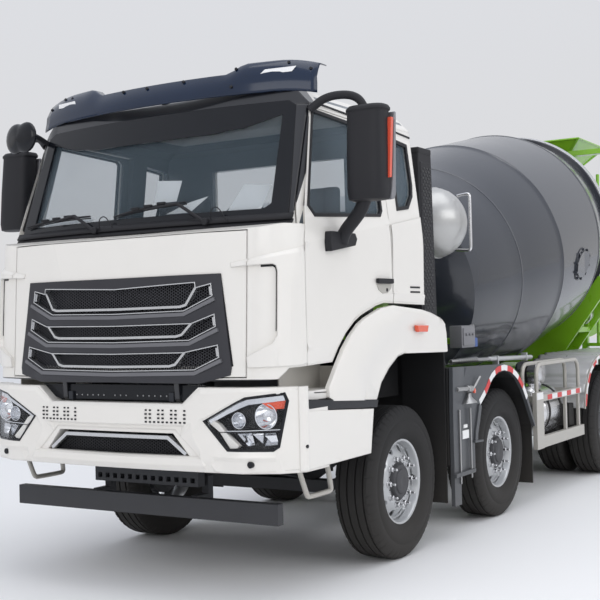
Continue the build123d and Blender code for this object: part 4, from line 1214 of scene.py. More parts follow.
for name, side in SIDES.items():
    put = side_put(side, 1.228)
    top = [(u, v, -0.004) for u, v in FENDER]
    shoulder = [(u - 0.02, v - 0.022, 0.010) for u, v in FENDER[:-2]]
    lip = [[(u, v, 0.012) for u, v in LIP_OUT[1:]], [(u, v, -0.008) for u, v in LIP_IN[1:]],
           [(u + 0.014, v + 0.014, 0.004) for u, v in ARCH[1:-1]]]
    outline = top + [(u, v, -0.006) for u, v in ARCH] + [(0.72, 1.141, 0.008),
                                                         (1.10, 1.166, 0.008)] + [(1.141, 1.19, 0.0)]
    piece(f"fender_skin_{name}", "chassis", "white", skin(outline, [], put, [shoulder] + lip, 0.03, 30),
          ["front_fenders"])

    def liner(made, side=side):
        inner = [at(u, side * 1.215, v) for u,
                 v in LINER] + [at(u + (0.012 if v < 1.2 else 0), side * 1.215, v + (0.012 if v > 1.2 else 0))
                                                              for u, v in reversed(LINER)]
        add_prism(made, inner, (0, -side * 0.41, 0))
        # dark wall between the arch and the bumper, and the bracket to the frame
        add_block(made, at(0.67, side * 1.20, 0.80), at(1.15, side * 1.06, 1.19))
        add_block(made, at(-0.60, side * 0.812, 1.075), at(0.64, side * 0.80, 1.445))
        add_block(made, at(-0.43, side * 0.81, 1.412), at(-0.39, side * 0.43, 1.432), 0.004)
        add_block(made, at(-0.43, side * 0.47, 0.90), at(-0.39, side * 0.43, 1.432), 0.004)

    piece(f"fender_liner_{name}", "chassis", "rubber", solid(liner))
    skirt_put = side_put(side, 1.2385)
    piece(f"side_skirt_{name}", "chassis", "white", skin([(u, v, 0) for u, v in SKIRT], [], skirt_put,
          [[(0.776, 1.09, 0.004), (0.806, 0.798, 0.004)],
           [(1.40, 1.125, 0.0), (0.64, 1.074, 0.003), (0.68, 0.815, 0.003), (1.40, 0.805, 0.0)]],
          0.03, 12))

    def band(made, side=side):
        add_prism(made,
                  [at(u, side * 1.234, v) for u,
                   v in ((1.425, 1.199), (1.05, 1.169), (0.528, 1.132), (0.545, 1.084), (1.0, 1.11),
                         (1.425, 1.137))],
                  (0, -side * 0.05, 0))
        # shadow slot in the step's edge, and the socket in the bumper's corner
        add_prism(made,
                  [at(u, side * 1.2055, v) for u,
                   v in ((1.288, 1.2305), (0.90, 1.216), (0.892, 1.211), (1.276, 1.2245))],
                  (0, -side * 0.01, 0))
        add_turned(made, [(-0.01, 0), (-0.01, 0.011), (0.001, 0.011), (0.001, 0)],
                   at(1.444, side * 1.2505, 0.93), (0, side, 0), (0, 0, 1), 20)

    piece(f"side_band_{name}", "chassis", "gloss_black", solid(band))

    def step_top(made, side=side):
        add_block(made, at(0.862, side * 0.99, 1.184), at(1.39, side * 1.2035, 1.2405), 0.006)

    piece(f"step_top_{name}", "chassis", "white_plastic", solid(step_top))

    def corner_cap(made, side=side):
        add_prism(made,
                  [at(x, side * y, 0.787) for x,
                   y in ((1.400, 1.20), (1.400, 1.236), (1.428, 1.2495), (1.448, 1.2485), (1.462, 1.236),
                                                             (1.475, 1.215), (1.46, 1.20))], (0, 0, 0.49))

    piece(f"corner_cap_{name}", "chassis", "white", solid(corner_cap, smooth=40))

    def step_well(made, side=side):
        add_block(made, at(0.955, side * 1.055, 1.24), at(1.43, side * 1.045, 1.38))
        add_block(made, at(0.955, side * 1.19, 1.24), at(0.965, side * 1.045, 1.372))

    piece(f"step_well_{name}", "chassis", "guard", solid(step_well))

    def marker(made, side=side):
        add_prism(made,
                  [at(u, side * 1.258, v) for u,
                   v in ((-0.04, 1.603), (-0.225, 1.6), (-0.205, 1.552), (-0.055, 1.556))], (0, -side * 0.03,
                                                                                             0))

    lens = piece(f"side_marker_{name}", "chassis", "orange", solid(marker))
    rounded(lens, 0.006)

    def low_step(made, side=side):
        """Light tread plate under the skirt and the bent tube below it."""
        add_block(made, at(0.78, side * 1.02, 0.787), at(1.385, side * 1.13, 0.815), 0.005)
        for k in range(14):
            x = 0.82 + k * 0.041
            add_block(made, at(x, side * 1.03, 0.815), at(x + 0.02, side * 1.12, 0.8185), 0.001)
        add_block(made, at(0.962, side * 0.44, 0.788), at(1.038, side * 1.01, 0.828), 0.004)

    piece(f"low_step_{name}", "chassis", "chassis", solid(low_step), ["entry_steps"])
    pipe(f"step_tube_{name}", "chassis", "guard",
         [at(*p) for p in ((1.335, side * 1.11, 0.80), (1.325, side * 1.115, 0.76),
                           (1.262, side * 1.12, 0.625),
         (1.245, side * 1.12, 0.603), (1.22, side * 1.12, 0.60), (1.01, side * 1.12, 0.60),
         (0.975, side * 1.12, 0.602), (0.968, side * 1.12, 0.625),
         (1.0, side * 1.115, 0.76), (1.005, side * 1.11, 0.80))], 0.0165)

# ---------------------------------------------------------------- doors and cab sides

DOOR_EDGE = [(1.329, 1.397), (1.329, 2.13), (1.294, 2.328), (1.088, 2.968), (0.230, 2.944), (0.212, 2.403),
             (0.196, 1.768), (0.33, 1.770),
             (0.443, 1.752), (0.655, 1.692), (0.748, 1.652), (0.866, 1.577), (0.956, 1.497), (1.04, 1.404)]
DOOR_GLASS = [(1.255, 2.345), (1.19, 2.29), (0.33, 2.345), (0.30, 2.38), (0.30, 2.895), (0.33, 2.92),
              (1.062, 2.95)]
QUARTER = [(0.048, 2.408), (-0.119, 2.431), (-0.205, 2.52), (-0.225, 2.60), (-0.22, 2.88), (0.042, 2.902)]

for name, side in SIDES.items():
    put = side_put(side, cab_y)
    body = f"door_{name}"
    edge = [(u, v, 0.001 if v < 1.9 else 0.003) for u, v in DOOR_EDGE]
    belt = [[(1.328, 2.113, 0.011), (0.212, 2.293, 0.010)], [(1.31, 2.165, 0.004), (0.214, 2.335, 0.004)],
            [(1.328, 1.495, 0.012), (0.96, 1.505, 0.010), (0.70, 1.71, 0.009), (0.42, 1.80, 0.009),
             (0.20, 1.825, 0.009)]]
    glass_hole = [(u, v, 0.003) for u, v in DOOR_GLASS]
    piece(f"door_skin_{name}", body, "white", skin(edge, [glass_hole], put, belt, 0.004, 8))
    rear = [(0.187, 1.768), (0.187, 2.29, 0.010), (-0.296, 2.372, 0.008), (-0.296, 1.755)]
    piece(f"cab_side_skin_{name}", "cab", "white",
          skin(rear, [], put, [[(0.187, 1.825, 0.009), (-0.296, 1.81, 0.009)]], 0.004, 8))

    def seals(made, put=put):
        strip(made, DOOR_GLASS, 0.022, put, 0.007, 0.012, closed=True)

    piece(f"door_seal_{name}", body, "black", solid(seals))

    def quarter(made, put=put):
        strip(made, QUARTER, 0.026, put, 0.005, 0.012, closed=True)
        strip(made, [(0.985, 3.004), (0.032, 2.968), (-0.295, 2.948)], 0.012, put, 0.006, 0.01)
        for z in (1.868, 1.835):
            strip(made, [(-0.06, z), (-0.21, z)], 0.012, put, 0.0115, 0.0)

    piece(f"quarter_seal_{name}", "cab", "black", solid(quarter))

    def painted_hollow_shade(made, put=put, side=side):
        # grey patch just proud of the door below the grip: painted shade standing for the hollow behind the
        # handle
        hollow_outline = [(0.385, 1.885), (0.36, 1.845), (0.30, 1.822), (0.23, 1.825), (0.175, 1.86), (0.165, 1.89)]
        add_prism(made, [put(u + 0.06, v, 0.0115) for u, v in hollow_outline], (0, -side * 0.004, 0))

    piece(f"door_hollow_painted_shade_{name}", body, "guard", solid(painted_hollow_shade))

    def grip(made, put=put, side=side):
        low, high = put(0.235, 1.888, 0.012), put(0.455, 1.921, 0.034)
        add_block(made, (low.x, min(low.y, high.y), low.z), (high.x, max(low.y, high.y), high.z), 0.007)
        add_turned(made, [(0, 0), (0, 0.013), (0.004, 0.012), (0.004, 0)], put(0.30, 1.846, 0.010),
                   (0, side, 0), (0, 0, 1), 20)

    piece(f"door_grip_{name}", body, "black", solid(grip))

# ---------------------------------------------------------------- front corners


def corner_put(side):
    """The rounded corner: u is 0 at the front seam and 1 at the side wall, and runs on along the side."""

    def put(u, v, out):
        nose = 1.692 - 0.0521 * (v - 1.25)
        a, b, c = Vector((nose - 0.095, 0.975)), Vector((nose - 0.150, 1.115)), Vector((nose - 0.300, 1.19))
        d = 2 * (a.x * (b.y - c.y) + b.x * (c.y - a.y) + c.x * (a.y - b.y))
        aa, bb, cc = a.length_squared, b.length_squared, c.length_squared
        centre = Vector(((aa * (b.y - c.y) + bb * (c.y - a.y) + cc * (a.y - b.y)) / d,
                         (aa * (c.x - b.x) + bb * (a.x - c.x) + cc * (b.x - a.x)) / d))
        first, last = a - centre, c - centre
        start, end = math.atan2(first.y, first.x), math.atan2(last.y, last.x)
        if u <= 0:
            y = 0.975 + u * 0.3
            return at(min(nose - y * y / 10.1, 1.69 - 0.08636 * (v - 1.31)) + out, side * y, v)
        if u <= 1:
            turn = start + (end - start) * u
            radius = first.length + out
            return at(centre.x + radius * math.cos(turn), side * (centre.y + radius * math.sin(turn)), v)
        return at(c.x - (u - 1) * 0.3, side * (1.19 + out), v)

    return put


for name, side in SIDES.items():
    put = corner_put(side)
    proud, edge_u = 0.026, 1.16
    outline = [(-0.075, 2.026, 0.003), (0.325, 2.05, 0.003), (0.95, 2.092, 0.003), (1.0, 2.10, 0.003),
               (1.03, 2.06, 0.008), (1.155, 1.405, 0.006),
               (1.0, 1.398, 0.008), (-0.075, 1.39, 0.012), (-0.075, 1.455, proud), (0.375, 1.53, proud),
               (0.45, 1.575, proud),
               (0.45, 1.95, proud), (0.425, 1.98, proud), (0.375, 1.99, proud), (-0.075, 1.984, proud)]
    creases = [[(-0.07, 2.006, proud), (0.325, 2.026, proud), (0.94, 2.066, 0.016)],
               [(0.70, 2.04, 0.021), (0.70, 1.50, 0.021)],
               [(0.47, 1.49, proud), (0.47, 1.42, 0.02)]]
    piece(f"corner_skin_{name}", "cab", "white", skin(outline, [], put, creases, 0.034, 24, 0.05))

    def slot(made, put=put):
        # dark strip just proud of the skin along the raised pocket's edge: painted shade standing for the
        # slot
        strip(made, [(0.438, 1.60), (0.438, 1.946), (0.418, 1.973), (0.372, 1.981), (0.16, 1.979)], 0.012,
              put, 0.004, 0.004)

    piece(f"corner_edge_painted_shade_{name}", "cab", "gloss_black", solid(slot))
    wing = [(-0.475, 2.006, 0.002), (-0.09, 2.0245, 0.003), (-0.09, 2.004, proud), (-0.09, 1.984, proud),
            (-0.45, 1.978, 0.006)]
    piece(f"lid_wing_{name}", "front_lid", "white", skin(wing, [], put, [], 0.03, 24, 0.05))


# ---------------------------------------------------------------- mirrors


def add_tower(made, rings, steps=40, power=3.2):
    """Rounded box from rings of (z, centre x, centre y, half x, half y)."""
    rows = []
    for z, cx, cy, hx, hy in rings:
        row = []
        for k in range(steps):
            angle = 2 * math.pi * k / steps
            c, s = math.cos(angle), math.sin(angle)
            row.append(made.verts.new(at(cx + hx * math.copysign(abs(c) ** (2 / power), c),
                                         cy + hy * math.copysign(abs(s) ** (2 / power), s), z)))
        rows.append(row)
    for a, b in zip(rows, rows[1:]):
        for k in range(steps):
            j = (k + 1) % steps
            made.faces.new((a[k], a[j], b[j], b[k]))
    made.faces.new(rows[0][::-1])
    made.faces.new(rows[-1])


for name, side in SIDES.items():
    body = f"door_{name}"

    def shell(made, side=side):
        rings = [(2.365, 1.03, 1.475, 0.05, 0.10), (2.372, 1.03, 1.472, 0.075, 0.122),
                 (2.42, 1.028, 1.47, 0.086, 0.128),
                 (2.65, 1.015, 1.465, 0.088, 0.128), (2.90, 1.0, 1.46, 0.084, 0.124),
                 (2.906, 1.0, 1.46, 0.084, 0.124),
                 (2.910, 0.998, 1.46, 0.092, 0.132), (2.925, 0.995, 1.46, 0.092, 0.131),
                 (2.942, 0.99, 1.46, 0.08, 0.118),
                 (2.948, 0.99, 1.46, 0.05, 0.085)]
        add_tower(made, [(z, x, side * y, hx, hy) for z, x, y, hx, hy in rings])
        # door bracket and the arm's foot
        foot = [(1.10, 2.072), (1.112, 2.135), (1.095, 2.195), (0.80, 2.195), (0.775, 2.16), (0.80, 2.118)]
        add_prism(made, [at(u, side * 1.246, v) for u, v in foot], (0, -side * 0.05, 0))

    shape = piece(f"mirror_shell_{name}", body, "black", solid(shell, smooth=40), [f"mirror_{name}"])
    rounded(shape, 0.006, 2, 50)
    reach = [(1.0, 1.43, 2.40), (0.985, 1.40, 2.33), (0.965, 1.33, 2.265), (0.95, 1.27, 2.215),
             (0.945, 1.235, 2.17), (0.945, 1.225, 2.13)]
    pipe(f"mirror_arm_low_{name}", body, "black", [at(x, side * y, z) for x, y, z in reach], 0.042)
    hook = [(0.995, 1.44, 2.92), (0.99, 1.42, 2.975), (1.0, 1.36, 3.022), (1.03, 1.27, 3.03),
            (1.06, 1.19, 3.012), (1.085, 1.13, 2.965),
            (1.09, 1.108, 2.945)]
    pipe(f"mirror_arm_top_{name}", body, "black", [at(x, side * y, z) for x, y, z in hook], 0.026)

    def rim(made, side=side):
        outline = [(0.932, 2.40), (0.955, 2.372), (0.99, 2.366), (0.985, 2.40), (0.972, 2.44), (0.925, 2.905),
                   (0.905, 2.905)]
        add_prism(made, [at(u, side * 1.605, v) for u, v in outline], (0, -side * 0.275, 0))

    band = piece(f"mirror_rim_{name}", body, "rim_grey", solid(rim))
    rounded(band, 0.008)

    def glass_face(made, side=side):
        add_prism(made,
                  [at(u, side * 1.59, v) for u,
                   v in ((0.927, 2.42), (0.9035, 2.89), (0.900, 2.89), (0.9235, 2.42))], (0, -side * 0.245,
                                                                                          0))

    piece(f"mirror_glass_{name}", body, "chrome", solid(glass_face))

    def amber(made, side=side):
        add_prism(made,
                  [at(u, side * 1.6085, v) for u,
                   v in ((0.995, 2.50), (1.022, 2.495), (0.985, 2.862), (0.955, 2.862))], (0, -side * 0.03,
                                                                                           0))

    piece(f"mirror_strip_{name}", body, "vermilion", solid(amber))


def front_mirror(made):
    """Oval kerb mirror on the far corner."""
    rows = []
    for i in range(13):
        along = -1 + 2 * i / 12
        radius = math.sqrt(max(0.0, 1 - along * along * 0.98))
        rows.append((0.045 * along, radius))
    add_turned(made, [(-0.05, 0)] + [(a, 0.092 * r + 0.004) for a, r in rows] + [(0.05, 0)],
               at(1.386, -1.05, 2.965), (1, -0.15, -0.25),
               (0, 0, 1), 32, lambda angle, along, radius: radius * (1 + 0.75 * abs(math.sin(angle)) ** 1.5))


piece("front_mirror", "cab", "gloss_black", solid(front_mirror, smooth=60))
pipe("front_mirror_arm", "cab", "black",
     [at(1.36, -1.05, 2.965), at(1.30, -1.06, 3.0), at(1.2, -1.07, 3.0), at(1.10, -1.06, 2.95)], 0.018)

# ---------------------------------------------------------------- panel over the second axle

PANEL_EDGE = [(-0.645, 0.255), (-0.645, 0.90), (-0.66, 1.281), (-1.50, 1.262), (-1.66, 1.258), (-1.84, 1.238),
              (-1.995, 1.168), (-2.14, 1.055), (-2.225, 0.945),
              (-2.395, 0.692), (-2.375, 0.685), (-2.19, 0.93), (-2.11, 1.02), (-1.98, 1.125), (-1.835, 1.182),
              (-1.68, 1.205), (-1.545, 1.195),
              (-1.41, 1.135), (-1.31, 1.045), (-1.17, 0.96), (-1.11, 0.82), (-1.04, 0.70), (-1.04, 0.475),
              (-0.765, 0.475), (-0.765, 0.255)]
TAPE = [(-1.155, 0.985), (-1.30, 1.075), (-1.40, 1.165), (-1.543, 1.22), (-1.683, 1.231), (-1.836, 1.208),
        (-1.986, 1.146), (-2.125, 1.037),
        (-2.20, 0.945)]


def tape_runs(points, count):
    """The line cut into equal lengths."""
    lengths = [math.dist(a, b) for a, b in zip(points, points[1:])]
    total = sum(lengths)

    def place(t):
        left = t * total
        for (a, b), length in zip(zip(points, points[1:]), lengths):
            if left <= length + 1e-9:
                f = left / length
                return (a[0] + (b[0] - a[0]) * f, a[1] + (b[1] - a[1]) * f)
            left -= length
        return points[-1]

    return [[place(k / count), place((k + 0.5) / count), place((k + 1) / count)] for k in range(count)]


for name, side in SIDES.items():
    put = side_put(side, PANEL_FACE)
    fold = [[(-0.80, 1.275, 0.0), (-0.79, 0.48, 0.0)], [(-0.99, 1.27, -0.0), (-0.985, 0.48, 0.0)],
            [(-0.895, 1.26, -0.012), (-0.89, 0.50, -0.012)]]
    piece(f"wheel_panel_{name}", "chassis", "panel", skin(PANEL_EDGE, [], put, fold, 0.03, 20),
          ["second_fenders"])

    def arch_sheet(made, side=side):
        curve = [(-1.136, 0.878), (-1.278, 1.044), (-1.494, 1.176), (-1.756, 1.207), (-2.0, 1.142),
                 (-2.25, 0.95), (-2.412, 0.705)]
        inner = [(u + 0.004, v - 0.014) for u, v in curve]
        add_prism(made, [at(u, side * 1.205, v) for u, v in curve + inner[::-1]], (0, -side * 0.385, 0))
        add_block(made, at(-0.76, side * 1.20, 0.56), at(-0.64, side * 0.83, 1.275), 0.006)
        add_block(made, at(-0.74, side * 0.83, 0.90), at(-0.70, side * 0.43, 0.94))
        add_block(made, at(-1.40, side * 0.82, 1.085), at(-1.36, side * 0.48, 1.115))
        add_block(made, at(-1.40, side * 0.52, 0.90), at(-1.36, side * 0.48, 1.115))
        add_block(made, at(-1.40, side * 0.50, 0.90), at(-1.36, side * 0.43, 0.94))

    piece(f"wheel_arch_{name}", "chassis", "rubber", solid(arch_sheet))
    reds, whites = bmesh.new(), bmesh.new()
    for k, run in enumerate(tape_runs(TAPE, 9)):
        strip(reds if k % 2 else whites, run, 0.045, put, 0.0022, 0.001)
    for k, x in enumerate((-2.76, -3.03, -3.30, -3.57)):
        strip(reds, [(x, 0.909), (x - 0.115, 0.909)], 0.044, side_put(side, GUARD_FACE), 0.002, 0.001)
        strip(whites,
              [(x - 0.118, 0.909), (x - 0.262, 0.909)] if k < 3 else [(x - 0.118, 0.909), (x - 0.16, 0.909)],
              0.044, side_put(side, GUARD_FACE), 0.0018, 0.001)
    strip(whites, [(-2.48, 0.932), (-2.64, 0.932)], 0.06, side_put(side, GUARD_FACE), 0.002, 0.001)
    rear_arch = [(-3.815, 0.745), (-3.862, 0.905), (-4.0, 1.082), (-4.26, 1.203), (-4.52, 1.232),
                 (-6.09, 1.232), (-6.315, 1.178), (-6.505, 1.01), (-6.585, 0.76)]
    for k, run in enumerate(tape_runs(rear_arch, 27)):
        strip(whites if k % 2 else reds, run, 0.03, side_put(side, 1.2455), 0.002, 0.001)
    for made, key in ((reds, "tape_red"), (whites, "tape_white")):
        bmesh.ops.recalc_face_normals(made, faces=made.faces)
        mesh = bpy.data.meshes.new(key)
        made.to_mesh(mesh)
        made.free()
        piece(f"{key}_{name}", "chassis", key, mesh)

    def fittings(made, side=side):
        """Valve, lever and funnel on the panel, with their pipes and clamp."""
        y = side * 1.24
        add_rod(made, at(-0.72, y, 1.112), at(-0.93, y, 1.106), 0.018, 16, 0.004)
        add_rod(made, at(-0.91, y, 1.105), at(-0.99, y, 1.102), 0.026, 16, 0.005)
        add_rod(made, at(-1.0, side * 1.245, 1.09), at(-1.115, side * 1.262, 1.19), 0.009, 12, 0.003)
        add_turned(made,
                   [(0, 0.022), (0.035, 0.030), (0.08, 0.078), (0.086, 0.08), (0.086, 0.074), (0.04, 0.022),
                    (0.0, 0.016)],
                   at(-0.945, side * 1.235, 1.07), (0.55, side * 0.12, -1.0), (1, 0, 0), 28)
        for x, low in ((-0.745, 0.41), (-0.948, 0.43)):
            add_rod(made, at(x, side * 1.245, 0.96), at(x, side * 1.245, low), 0.007, 10, 0.002)

    piece(f"panel_fittings_{name}", "chassis", "steel", solid(fittings, smooth=40))

    def clamps(made, side=side):
        side_block(made, side, (-0.625, 1.232, 0.468), (-0.63 - 0.36, 1.262, 0.498), 0.004)
        arm = [(-1.142, 0.968), (-1.10, 0.86), (-1.055, 0.76), (-1.045, 0.695)]
        strip(made, arm, 0.05, side_put(side, PANEL_FACE), 0.014, 0.001)
        strip(made, [(-1.0, 0.697), (-1.16, 0.69)], 0.016, side_put(side, PANEL_FACE), 0.022, 0.001)

    piece(f"panel_clamps_{name}", "chassis", "panel", solid(clamps))

    def labels(made, side=side):
        for (a, b), (c, d) in (((-0.808, 0.735), (-0.925, 0.797)), ((-0.838, 0.815), (-0.90, 0.84))):
            add_prism(made, [at(u, side * 1.2385, v) for u, v in ((a, b), (c, b), (c, d), (a, d))],
                      (0, -side * 0.02, 0))

    piece(f"blank_labels_{name}", "chassis", "paper", solid(labels))

    def knob(made, side=side):
        add_turned(made, [(0, 0), (0, 0.018), (0.012, 0.018), (0.014, 0.012), (0.014, 0)],
                   at(-1.01, side * 1.25, 1.085), (0, side, 0), (0, 0, 1), 20)

    piece(f"lever_cap_{name}", "chassis", "orange", solid(knob, smooth=40))

# ---------------------------------------------------------------- water tank and air intake


def tank_skin(made):
    """Long tank with a rolled seam near each domed end."""
    profile = [(-1.158, 0.0), (-1.158, 0.03), (-1.145, 0.085), (-1.118, 0.145), (-1.075, 0.202),
               (-1.02, 0.246), (-0.965, 0.270), (-0.93, 0.276),
               (-0.925, 0.283), (-0.905, 0.283), (-0.90, 0.278)]
    profile += [(-0.32, 0.278), (-0.315, 0.284), (-0.285, 0.284), (-0.28, 0.278)]
    full = profile + [(-a, r) for a, r in reversed(profile)]
    add_turned(made, full, at(-1.14, 0, 2.40), LEFT, UP, 96)
    for side in (1, -1):
        add_turned(made, [(-0.02, 0), (-0.02, 0.06), (0.035, 0.06), (0.04, 0.052), (0.04, 0)],
                   at(-1.14, side * 0.35, 2.675), UP, AHEAD, 32)


piece("tank_skin", "chassis", "silver", solid(tank_skin, smooth=24), ["water_tank"])


def tank_stand(made):
    for side in (1, -1):
        add_prism(made,
                  [at(x, side * 0.47, z) for x,
                   z in ((-1.0, 1.0), (-1.1, 1.0), (-1.1, 1.11), (-1.18, 2.13), (-1.08, 2.13),
                         (-1.0, 1.11))], (0, -side * 0.09, 0))
        add_prism(made,
                  [at(x, side * 0.50, z) for x,
                   z in ((-0.86, 2.22), (-0.95, 2.165), (-1.05, 2.128), (-1.23, 2.128), (-1.33, 2.165),
                         (-1.42, 2.22),
                                                            (-1.40, 2.16), (-1.30, 2.09), (-1.0, 2.09),
                                                            (-0.88, 2.16))], (0, -side * 0.14, 0))
        add_block(made, at(-1.52, side * 0.40, 1.11), at(-1.48, side * 0.47, 1.48), 0.004)
        add_block(made, at(-1.52, side * 0.43, 1.43), at(-1.48, side * 0.91, 1.48), 0.004)


piece("tank_stand", "chassis", "green", solid(tank_stand))


def control_boxes(made):
    for side in (1, -1):
        side_block(made, side, (-1.64, 0.90, 1.40), (-1.37, 1.01, 1.58), 0.012)
        outer = side * 1.01
        add_block(made, at(-1.62, outer - 0.001, 1.42), at(-1.39, outer + side * 0.008, 1.56), 0.003)
        for x in (-1.44, -1.505, -1.57):
            add_turned(made, [(0, 0), (0, 0.014), (0.012, 0.012), (0.012, 0)],
                       at(x, outer + side * 0.007, 1.51), (0, side, 0), (0, 0, 1), 20)


piece("control_boxes", "chassis", "rim_grey", solid(control_boxes, smooth=40))


def valves(made):
    for side in (1, -1):
        side_block(made, side, (-1.74, 0.93, 1.40), (-1.65, 0.99, 1.475), 0.008)
        for x in (-1.67, -1.72):
            add_turned(made, [(0, 0), (0, 0.016), (0.02, 0.016), (0.024, 0.011), (0.024, 0)],
                       at(x, side * 0.96, 1.47), UP, AHEAD, 20)


def valve_rods(made):
    for side in (1, -1):
        for x in (-1.67, -1.72):
            add_rod(made, at(x, side * 0.96, 1.49), at(x, side * 0.96, 1.585), 0.008, 12, 0.002)
        add_rod(made, at(-1.16, side * 1.0, 1.300), at(-1.96, side * 1.0, 1.287), 0.017, 16, 0.003)
        for k in range(9):
            add_turned(made, [(-0.014, 0.0), (-0.014, 0.020), (0.0, 0.024), (0.014, 0.020), (0.014, 0)],
                       at(-1.3 - k * 0.045, side * 1.0, 1.2975),
                       AHEAD, UP, 20)


def drain_pipe(made):
    for side in (1, -1):
        add_rod(made, at(-1.94, side * 1.0, 1.287), at(-2.97, side * 1.0, 1.262), 0.021, 24, 0.004)
        for x in (-2.1, -2.8):
            side_block(made, side, (x - 0.012, 0.972, 1.235), (x + 0.012, 1.028, 1.31), 0.006)


piece("valve_blocks", "chassis", "blue", solid(valves, smooth=40))
piece("valve_rods", "chassis", "steel", solid(valve_rods, smooth=40))
piece("drain_pipes", "chassis", "wheel", solid(drain_pipe, smooth=40))
for name, side in SIDES.items():
    gauge = [at(x, side * y, z) for x, y,
             z in ((-1.14, 1.10, 2.60), (-1.14, 1.16, 2.61), (-1.14, 1.20, 2.61), (-1.14, 1.205, 2.58),
                   (-1.14, 1.205, 2.4),
                                                 (-1.14, 1.205, 2.20), (-1.14, 1.20, 2.17),
                                                 (-1.14, 1.16, 2.17), (-1.14, 1.08, 2.18))]
    pipe(f"tank_gauge_{name}", "chassis", "bright", gauge, 0.012)


def intake_skin(made):
    add_prism(made,
              [at(x, 1.104, z) for x,
               z in ((-0.44, 1.64), (-0.70, 1.64), (-0.66, 2.895), (-0.62, 2.905), (-0.44, 2.905))], (0,
                                                                                                      -0.20,
                                                                                                      0))
    add_block(made, at(-0.70, 0.43, 1.56), at(-0.44, 1.11, 1.64), 0.01)
    add_block(made, at(-0.66, 0.43, 0.96), at(-0.48, 0.48, 1.60), 0.01)
    # raised strip with rows of slots, and a hood over the top
    add_prism(made,
              [at(x, 1.110, z) for x, z in ((-0.465, 1.66), (-0.655, 1.66), (-0.63, 2.80), (-0.465, 2.80))],
              (0, -0.02, 0))
    add_block(made, at(-0.655, 0.895, 2.86), at(-0.435, 1.11, 2.905), 0.01)


hood = piece("intake_skin", "chassis", "black", solid(intake_skin), ["air_intake"])
rounded(hood, 0.006)


def intake_slots(made):
    for row in range(44):
        z = 1.70 + row * 0.0245
        for k in range(3):
            x = -0.50 - k * 0.048 - (0.024 if row % 2 else 0)
            if x > -0.625:
                add_prism(made,
                          [at(x + u, 1.1115, z + w) for u,
                           w in ((-0.016, 0), (-0.006, 0.008), (0.012, 0.008), (0.016, 0), (0.006, -0.008),
                                 (-0.012, -0.008))],
                          (0, -0.004, 0))


piece("intake_slots", "chassis", "gloss_black", solid(intake_slots))


def roof_markers(made):
    for side in (1, -1):
        add_block(made, at(-0.29, side * 0.93, 3.085), at(-0.20, side * 1.0, 3.125), 0.012)


piece("roof_markers", "cab", "red", solid(roof_markers))


# ---------------------------------------------------------------- drum, gearbox and rollers

TILT = math.radians(11.98)
DRUM_AXIS = Vector((-math.cos(TILT), 0, math.sin(TILT)))
DRUM_UP = Vector((math.sin(TILT), 0, math.cos(TILT)))
DRUM_SEAM = at(-3.524, 0, 2.231)


def on_drum(along, up, across):
    """A place measured from the seam: rearward along the drum's axis, up from it, and to the left."""
    return DRUM_SEAM + DRUM_AXIS * along + DRUM_UP * up + Vector((0, across, 0))


def drum_skin(made):
    def cone(points, bow, steps=10):
        (a, r), (b, q) = points
        return [(a + (b - a) * k / steps,
                 r + (q - r) * k / steps + bow * math.sin(math.pi * k / steps)) for k in range(1, steps)]

    def weld(along, radius, slope=0.0):
        return [(along - 0.012, radius + slope * -0.012), (along - 0.006, radius + 0.0045),
                (along + 0.006, radius + 0.0045), (along + 0.012, radius + slope * 0.012)]

    outer = [(-1.83, 0.0), (-1.83, 0.23), (-1.79, 0.235), (-1.765, 0.29), (-1.735, 0.42), (-1.70, 0.56),
             (-1.655, 0.69), (-1.615, 0.785),
             (-1.57, 0.868)]
    outer += cone([(-1.56, 0.874), (-0.80, 1.013)], 0.006) + weld(-0.79, 1.02,
                                                                  0.18) + cone([(-0.77, 1.022),
                                                                                (-0.02, 1.153)], 0.006)
    outer += weld(0.0, 1.156) + [(0.3, 1.157), (0.6, 1.157), (0.9, 1.157)] + weld(1.2, 1.156)
    outer += cone([(1.22, 1.153), (1.78, 1.036)], 0.006) + [(1.80, 1.031), (1.845, 1.028), (1.849, 1.066),
                                                            (1.858, 1.075), (1.952, 1.075), (1.961, 1.066),
                                                             (1.965, 1.0), (2.0, 0.986)]
    outer += cone([(2.01, 0.984), (2.83, 0.632)], 0.01) + [(2.832, 0.640), (2.845, 0.646), (2.862, 0.640),
                                                           (2.866, 0.622), (2.860, 0.602), (2.84, 0.600)]
    inner = [(1.99, 0.965), (1.196, 1.136), (0.004, 1.136), (-1.546, 0.856), (-1.64, 0.68), (-1.72, 0.415),
             (-1.75, 0.0)]
    add_turned(made, outer + inner, DRUM_SEAM, DRUM_AXIS, DRUM_UP, 144)


piece("drum_skin", "drum", "drum", solid(drum_skin, smooth=30), ["drum"])


def drum_track(made):
    add_turned(made, [(1.862, 1.0), (1.862, 1.0762), (1.948, 1.0762), (1.948, 1.0)], DRUM_SEAM, DRUM_AXIS,
               DRUM_UP, 144)


piece("drum_track", "drum", "bright", solid(drum_track, smooth=30))


def drum_blades(made):
    """Two spirals that show in the mouth."""
    for start in (0.4, 0.4 + math.pi):
        rows = []
        for k in range(97):
            t = k / 96
            along, angle = 2.80 - 1.5 * t, start + 1.75 * math.pi * t
            wall = 0.594 + (2.86 - along) * 0.4285 if along > 1.99 else 0.965 + (1.99 - along) * 0.215
            deep = 0.22 + 0.16 * min(1, t * 3)
            side = DRUM_AXIS.cross(DRUM_UP)
            out = DRUM_UP * math.cos(angle) + side * math.sin(angle)
            rows.append([made.verts.new(DRUM_SEAM + DRUM_AXIS * a + out * r) for a, r in
                         ((along, wall - 0.006), (along + 0.03, wall - deep), (along + 0.024, wall - deep),
                          (along - 0.006, wall - 0.006))])
        for a, b in zip(rows, rows[1:]):
            for i in range(4):
                j = (i + 1) % 4
                made.faces.new((a[i], a[j], b[j], b[i]))
        made.faces.new(rows[0])
        made.faces.new(rows[-1][::-1])


piece("drum_blades", "drum", "chassis", solid(drum_blades, smooth=30))


